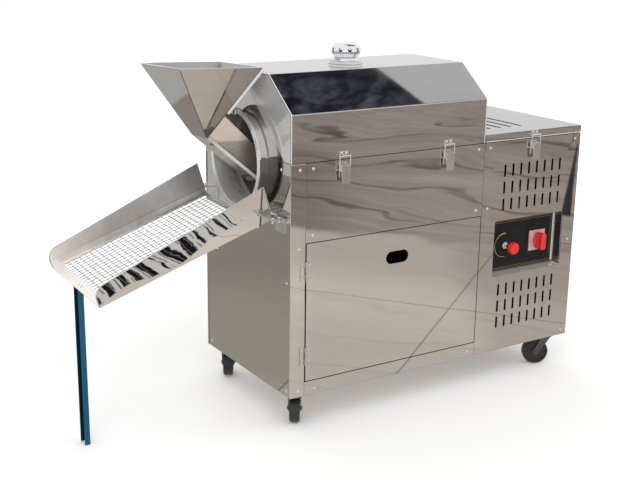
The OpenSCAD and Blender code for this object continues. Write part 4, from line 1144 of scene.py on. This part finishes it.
class ROASTER_OT_screws(bpy.types.Operator):
    """Cross-head screws, bolts and rivets"""

    bl_idname = "roaster.screws"
    bl_label = "Screws"

    def execute(self, context):
        crossed, plain, stems = self.sort(islands("fasteners"))
        tree = head_tree()
        work = bmesh.new()
        # A recess below nothing leaves a plain dome
        for rows, height, recess in ((crossed, 0.52, 0.3), (plain, 0.6, -1.0)):
            work.from_mesh(tree.grow(points_mesh("head_points", rows), {
                "Height": height, "Recess": recess, "Material": FINISHES["nickel"],
            }))
        for low, high in stems:
            radius = (high.x - low.x) / 2
            bmesh.ops.create_cone(
                work, cap_ends=True, segments=16, radius1=radius, radius2=radius,
                depth=high.z - low.z, matrix=Matrix.Translation((low + high) / 2),
            )
        mesh = smooth(mesh_of("screw_heads", work), 30)
        show("screw_heads", mesh, "cabinet", ["nickel"], ["fasteners"])
        return {"FINISHED"}

    def sort(self, boxes):
        """Foot, facing and radius of crossed and of plain heads, and the boxes of bolt stems."""
        slope = chute_way(0, 0, 1)
        forward, left, up = Vector((0, -1, 0)), Vector((-1, 0, 0)), Vector((0, 0, 1))
        screw, bolt, rivet, rivet_sink = 0.0034, 0.004, 0.003, 0.0007
        # Heights of screw heads, bolt heads and stems, and the width of a bolt head, in millimetres
        screw_height, bolt_height, stem_height, bolt_width = 2.5, 3.5, 5, 7
        crossed, plain, stems = [], [], []
        for low, high in boxes:
            size = (high - low) * 1000
            centre = (low + high) / 2
            if size.y < screw_height:
                crossed.append((Vector((centre.x, high.y, centre.z)), forward, screw))
            elif size.x < screw_height:
                crossed.append((Vector((high.x, centre.y, centre.z)), left, screw))
            elif size.x < bolt_height:
                plain.append((Vector((high.x, centre.y, centre.z)), left, bolt))
            elif size.z > stem_height:
                stems.append((low, high))
            elif size.x > bolt_width:
                plain.append((Vector((centre.x, centre.y, low.z)), up, bolt))
            else:
                plain.append((centre - slope * rivet_sink, slope, rivet))
        return crossed, plain, stems


class ROASTER_OT_flue(bpy.types.Operator):
    """Flue collar and turning cap"""

    bl_idname = "roaster.flue"
    bl_label = "Flue"

    def execute(self, context):
        dress("flue_collar", "chrome", width=0.6, segments=3)
        dress("flue_cap", "chrome", width=0.5)
        return {"FINISHED"}


class ROASTER_OT_drum(bpy.types.Operator):
    """Drum, its drive and its rollers"""

    bl_idname = "roaster.drum"
    bl_label = "Drum and drive"

    def execute(self, context):
        dress("drum_shell", "drum", width=0.4)
        for node, finish in {
            "drum_flights": "drum", "drum_shaft": "zinc", "drum_gear": "iron", "motor_pinion": "zinc",
            "roller_front": "rubber", "roller_back": "rubber", "roller_axles": "zinc",
            "bearing_unit": "iron", "gear_motor": "grey", "motor_shelf": "front",
            "burner_tubes": "iron", "burner_supports": "front", "gas_manifold": "brass",
        }.items():
            coat(node, finish)
        return {"FINISHED"}


class ROASTER_OT_castors(bpy.types.Operator):
    """Swivel castors"""

    bl_idname = "roaster.castors"
    bl_label = "Castors"

    def execute(self, context):
        dress("castor_plates", "zinc", width=0.4)
        for place in ("front_left", "front_right", "back_left", "back_right"):
            dress("fork_" + place, "dark_zinc", width=0.5)
            dress("wheel_" + place, "rubber", width=0.8, segments=3)
        return {"FINISHED"}


def link_stage(name, outline, material):
    """A flat stage piece from its outline."""
    mesh = bpy.data.meshes.new(name)
    mesh.from_pydata(outline, [], [list(range(len(outline)))])
    mesh.materials.append(material)
    piece = bpy.data.objects.new(name, mesh)
    bpy.context.scene.collection.objects.link(piece)
    return piece


def card(name, outline, paint):
    """A glowing studio card that only reflections see; paint gives its colour."""
    f = Finish(name)
    light = f.tree.nodes.new("ShaderNodeEmission")
    f.feed(light.inputs["Color"], paint(f))
    f.tree.links.new(light.outputs[0], f.tree.nodes["Material Output"].inputs["Surface"])
    piece = link_stage(name, outline, f.material)
    piece.visible_camera = False
    piece.visible_diffuse = False
    piece.visible_shadow = False
    piece.visible_transmission = False


# The floor card's colours
TILE_NEAR = (0.74, 0.67, 0.605, 1)
TILE_DARK = (0.43, 0.375, 0.34, 1)
TILE_FAR = (0.4, 0.355, 0.325, 1)
TILE_BESIDE = (0.435, 0.405, 0.345, 1)
TILE_DIM = (0.355, 0.33, 0.28, 1)
TILE_LEFT = (0.95, 0.93, 0.9, 1)
WALL_PALE = (0.6, 0.615, 0.6, 1)
WALL_FOOT = (0.4, 0.37, 0.345, 1)
SPILL_DARK = (0.05, 0.048, 0.05, 1)
SLAT_PALE = (0.78, 0.76, 0.735, 1)
SLAT_DARK = (0.012, 0.012, 0.017, 1)
# The dark card's colours, outline and height
SKY_DARK = (0.025, 0.027, 0.045, 1)
SKY_CLOUD = (0.3, 0.3, 0.36, 1)
SKY_OUTLINE = ((400, -500), (2819, -500), (929, 900), (400, 900))
SKY_HEIGHT = 2700
# Cosine and sine of the floor's turn, and of the screen's turn on it
FLOOR_TURN = (0.795, 0.606)
SCREEN_TURN = (0.789, 0.614)


def room_floor(f):
    """Tiled floor in the room: pale by the machine, darker further off, with joints and soft veins.

    out and along are metres from the cabinet's corner, to the front right and to the back right.
    """
    x, y, _ = f.axes(f.spot)
    x, y = x - CORNER.x, y - CORNER.y
    c, s = FLOOR_TURN
    out = x * c - y * s
    along = x * s + y * c
    veins = f.noise(f.scaled(f.spot, (1.1, 2.4, 1)), 2.0, 5.0, 0.55, 1.2)
    bent = out + (veins - 0.5) * 0.3
    dark = bent.between(1.5, 1.6)
    tone = f.times(floor_tone(f, out, along, bent, dark), floor_level(f, out, along, dark))
    lean = abs(along - 0.473 + out * 0.105)
    spill = (lean - (0.037 - out * 0.01)).between(0.003, 0.0)
    tone = f.mix(spill * out.between(2.05, 2.1) * out.between(4.4, 4.2), tone, SPILL_DARK)
    # A narrow band, so that the cabinet's front hardly shows the screen in other views
    above = along + 0.53 - out.between(0.3, 0.65) * 0.055 - (out - 0.65).most(0.0) * 0.04
    band = above.between(0.0, -0.008) * above.between(-0.125, -0.115)
    return f.mix(out.between(0.27, 0.3) * out.between(1.14, 1.08) * band, tone, blinds(f, out, along))


def floor_tone(f, out, along, bent, dark):
    """The floor's colours by zone."""
    tone = f.mix(dark, TILE_NEAR, TILE_DARK)
    beyond = along.between(0.76, 0.82)
    for zone, colour in (
        (bent.between(2.7, 3.4), TILE_FAR),
        (out.between(0.0, -0.3), TILE_BESIDE),
        (out.between(-0.55, -1.1), TILE_DIM),
        (along.between(-0.9, -1.2) * out.between(0.5, 0.2), TILE_LEFT),
        (beyond * out.between(-1.13, -1.16), WALL_PALE),
        (beyond * out.between(-1.14, -1.12) * out.between(-0.84, -0.87), WALL_FOOT),
    ):
        tone = f.mix(zone, tone, colour)
    return tone


def floor_level(f, out, along, dark):
    """A factor on the floor's colours: joints, grain, streaks and soft lighter and darker zones."""
    # Equal steps of rise are equal heights on the machine's front
    rise = out / (out.most(0.0) + 2.2) * 989.0
    sway = f.noise(f.scaled(f.spot, (0.9, 0.9, 1)), 1.0, 3.0, 0.5) * 190.0
    streak = f.noise(f.vector(rise * 0.045 + sway * 0.03, along * 0.9, 0.0), 1.0, 5.0, 0.6)
    fine = f.noise(f.vector(rise * 0.3 + sway * 0.2, along * 1.6, 0.0), 1.0, 3.0, 0.6)
    grain = ((rise + sway) * 0.12).sine().between(0.93, 0.995) * f.noise(f.spot, 1.3, 2.0).between(0.4, 0.55)
    joint_out, joint_along = 0.898, 0.11
    joint = abs(out - joint_out).between(0.004, 0.0015).most(abs(along - joint_along).between(0.004, 0.0015))
    marks = (dark * 0.78 + 0.15) * (1.0 - out.between(0.0, -0.2) * 0.6)
    level = 1.0 - joint * out.between(1.55, 1.5) * 0.4
    level = level + marks * ((streak - 0.5) * 0.8 + (fine - 0.5) * 0.9 - grain * 0.5)
    side = along + out * 0.375
    front = out.between(0.0, 0.2) - dark
    for change in (
        dark * side.between(0.3, 0.0) * out.between(3.0, 2.6) * -0.3,
        dark * side.between(0.3, 0.6) * out.between(2.9, 2.5) * 0.12,
        front * (out.between(0.5, 0.85) * 0.1 - out.between(0.95, 1.25) * 0.2),
        front * (side.between(0.06, 0.0) * 0.1 - side.between(0.45, 0.6) * 0.2),
    ):
        level = level * (change + 1.0)
    return level


def blinds(f, out, along):
    """Slatted screen on the floor card by the chute: dark bars, thin ones further in, and lines between."""
    c, s = SCREEN_TURN
    across = out * c + along * s
    run = along * c - out * s
    bend = f.noise(f.vector(across * 9.0, run * 14.0, 3.0), 1.0, 2.0)
    width = f.noise(f.vector(across * 20.0, run * 9.0, 5.0), 1.0, 1.0)
    gap = across.between(0.15, 0.165) * across.between(0.225, 0.21)
    thin = gap * 1.35 + across.between(0.32, 0.36) * 1.2 - across.between(0.06, 0.12) * 0.5
    edge = thin + (width - 0.5) * 1.6
    bars = ((across * 110.0 + (bend - 0.5) * 3.0 - 0.62).sine() - edge).between(0.0, 0.12)
    lines = (across * 330.0 + bend * 5.0).sine().between(0.55, 0.8) * width.between(0.46, 0.52)
    slits = (across * 270.0 - bend * 6.0).sine().between(0.9, 0.97) * 0.3
    return f.mix((bars - slits).most(lines * 0.8), SLAT_PALE, SLAT_DARK)


def dark_sky(f):
    """Dark ceiling with paler cloud."""
    cloud = f.noise(f.scaled(f.spot, (2, 5, 1)), 2.5, 6.0, 0.7, 0.8)
    return f.mix(cloud.between(0.42, 0.8), SKY_DARK, SKY_CLOUD)


# Name, place, size and power of each lamp
LAMPS = (
    ("key", (-1.8, -2.6, 3.2), 2.6, 45.0),
    ("fill", (2.6, -1.6, 2.2), 2.0, 14.0),
    ("rim", (0.5, 2.8, 2.8), 2.4, 20.0),
)
LAMP_TARGET = (0, 0, 0.35)
# The photograph's viewpoint: azimuth, elevation and roll in degrees, place, and focal length in pixels
EYE_TURN = (-32.53, 15.68, 0.86)
EYE_PLACE = (-1048.63, -1750.93, 906.89)
EYE_FOCAL = 1098.71
PHOTO_WIDTH = 640.0
SENSOR_WIDTH = 36.0
FLOOR_HALF = 9
CARD_RADIUS = 7
CARD_DROP = 0.002


class ROASTER_OT_stage(bpy.types.Operator):
    """Pale floor, soft light, reflection cards and the camera"""

    bl_idname = "roaster.stage"
    bl_label = "Stage"

    def execute(self, context):
        scene = context.scene
        scene.view_settings.view_transform = "Standard"
        self.world(scene)
        self.floor()
        self.cards()
        self.lamps(scene)
        self.camera(scene)
        return {"FINISHED"}

    def world(self, scene):
        """White behind the object and in its reflections, a little less as light on it."""
        scene.world = bpy.data.worlds.new("studio")
        scene.world.use_nodes = True
        sky = Nodes(scene.world.node_tree)
        camera, glossy, through = (
            sky.add("ShaderNodeLightPath", out=ray)
            for ray in ("Is Camera Ray", "Is Glossy Ray", "Is Transmission Ray")
        )
        light = sky.tree.nodes["Background"]
        sky.feed(light.inputs["Color"], (1, 1, 1, 1))
        sky.feed(light.inputs["Strength"], camera.most(glossy).most(through) * 0.15 + 0.85)

    def floor(self):
        """Pale floor that keeps the object's shadow and fades to white further off."""
        f = Finish("pale_floor", Base_Color=(0.93, 0.93, 0.93, 1), Roughness=0.9, Emission_Strength=1.0)
        x, y, _ = f.axes(f.spot)
        reach = (x * x + y * y).root().between(0.5, 2.2)
        seen = f.add("ShaderNodeLightPath", out="Is Camera Ray") * (reach * 0.3 + 0.1)
        f.give(Emission_Color=f.mix(seen, (0, 0, 0, 1), (1, 1, 1, 1)))
        h = FLOOR_HALF
        floor = link_stage("floor", [(-h, -h, 0), (h, -h, 0), (h, h, 0), (-h, h, 0)], f.material)
        floor.visible_glossy = False

    def cards(self):
        """The room that the polished sheet reflects."""
        turns = [2 * math.pi * k / 64 for k in range(64)]
        ring = [(CARD_RADIUS * math.cos(a), CARD_RADIUS * math.sin(a), -CARD_DROP) for a in turns]
        card("floor_card", ring, room_floor)
        card("dark_card", [mm(x, y, SKY_HEIGHT) for x, y in SKY_OUTLINE], dark_sky)

    def lamps(self, scene):
        """Three soft lamps that reflections don't see."""
        for name, place, size, power in LAMPS:
            lamp = bpy.data.lights.new(name, "AREA")
            lamp.size = size
            lamp.energy = power
            holder = bpy.data.objects.new(name, lamp)
            scene.collection.objects.link(holder)
            holder.location = place
            aim = Vector(LAMP_TARGET) - Vector(place)
            holder.rotation_euler = aim.to_track_quat("-Z", "Y").to_euler()
            holder.visible_glossy = False

    def camera(self, scene):
        """The camera at the photograph's viewing angle."""
        azimuth, elevation, roll = (math.radians(a) for a in EYE_TURN)
        level = math.cos(elevation)
        back = Vector((math.sin(azimuth) * level, -math.cos(azimuth) * level, math.sin(elevation)))
        right = (-back).cross(Vector((0, 0, 1))).normalized()
        up = right.cross(-back)
        turned = math.cos(roll) * right + math.sin(roll) * up
        upright = math.cos(roll) * up - math.sin(roll) * right
        eye = bpy.data.cameras.new("photo_eye")
        eye.sensor_width = SENSOR_WIDTH
        eye.lens = EYE_FOCAL * SENSOR_WIDTH / PHOTO_WIDTH
        eye.clip_end = 50.0
        holder = bpy.data.objects.new("photo_eye", eye)
        scene.collection.objects.link(holder)
        turn = Matrix((turned, upright, back)).transposed().to_4x4()
        holder.matrix_world = Matrix.Translation(mm(*EYE_PLACE)) @ turn
        scene.camera = holder


class ROASTER_PT_sidebar(bpy.types.Panel):
    """Sizes, colours and steps of the roaster"""

    bl_idname = "ROASTER_PT_sidebar"
    bl_label = "Roaster"
    bl_space_type = "VIEW_3D"
    bl_region_type = "UI"
    bl_category = "Roaster"

    def draw(self, context):
        for group in (context.scene.roaster_sizes, context.scene.roaster_colours):
            for key in group.__annotations__:
                self.layout.prop(group, key)
        for step in STEPS:
            self.layout.operator(step.bl_idname)


STEPS = (
    ROASTER_OT_stage, ROASTER_OT_panels, ROASTER_OT_lid, ROASTER_OT_feed, ROASTER_OT_chute,
    ROASTER_OT_mesh, ROASTER_OT_leg, ROASTER_OT_controls, ROASTER_OT_hardware, ROASTER_OT_screws,
    ROASTER_OT_flue, ROASTER_OT_drum, ROASTER_OT_castors,
)
CLASSES = (RoasterSizes, RoasterColours, *STEPS, ROASTER_PT_sidebar)


def register():
    for each in CLASSES:
        bpy.utils.register_class(each)
    bpy.types.Scene.roaster_sizes = PointerProperty(type=RoasterSizes)
    bpy.types.Scene.roaster_colours = PointerProperty(type=RoasterColours)


def unregister():
    del bpy.types.Scene.roaster_colours
    del bpy.types.Scene.roaster_sizes
    for each in reversed(CLASSES):
        bpy.utils.unregister_class(each)


def main():
    register()
    FINISHES.update(make_finishes(bpy.context.scene.roaster_colours))
    for step in STEPS:
        group, name = step.bl_idname.split(".")
        getattr(getattr(bpy.ops, group), name)()


if __name__ == "__main__":
    main()
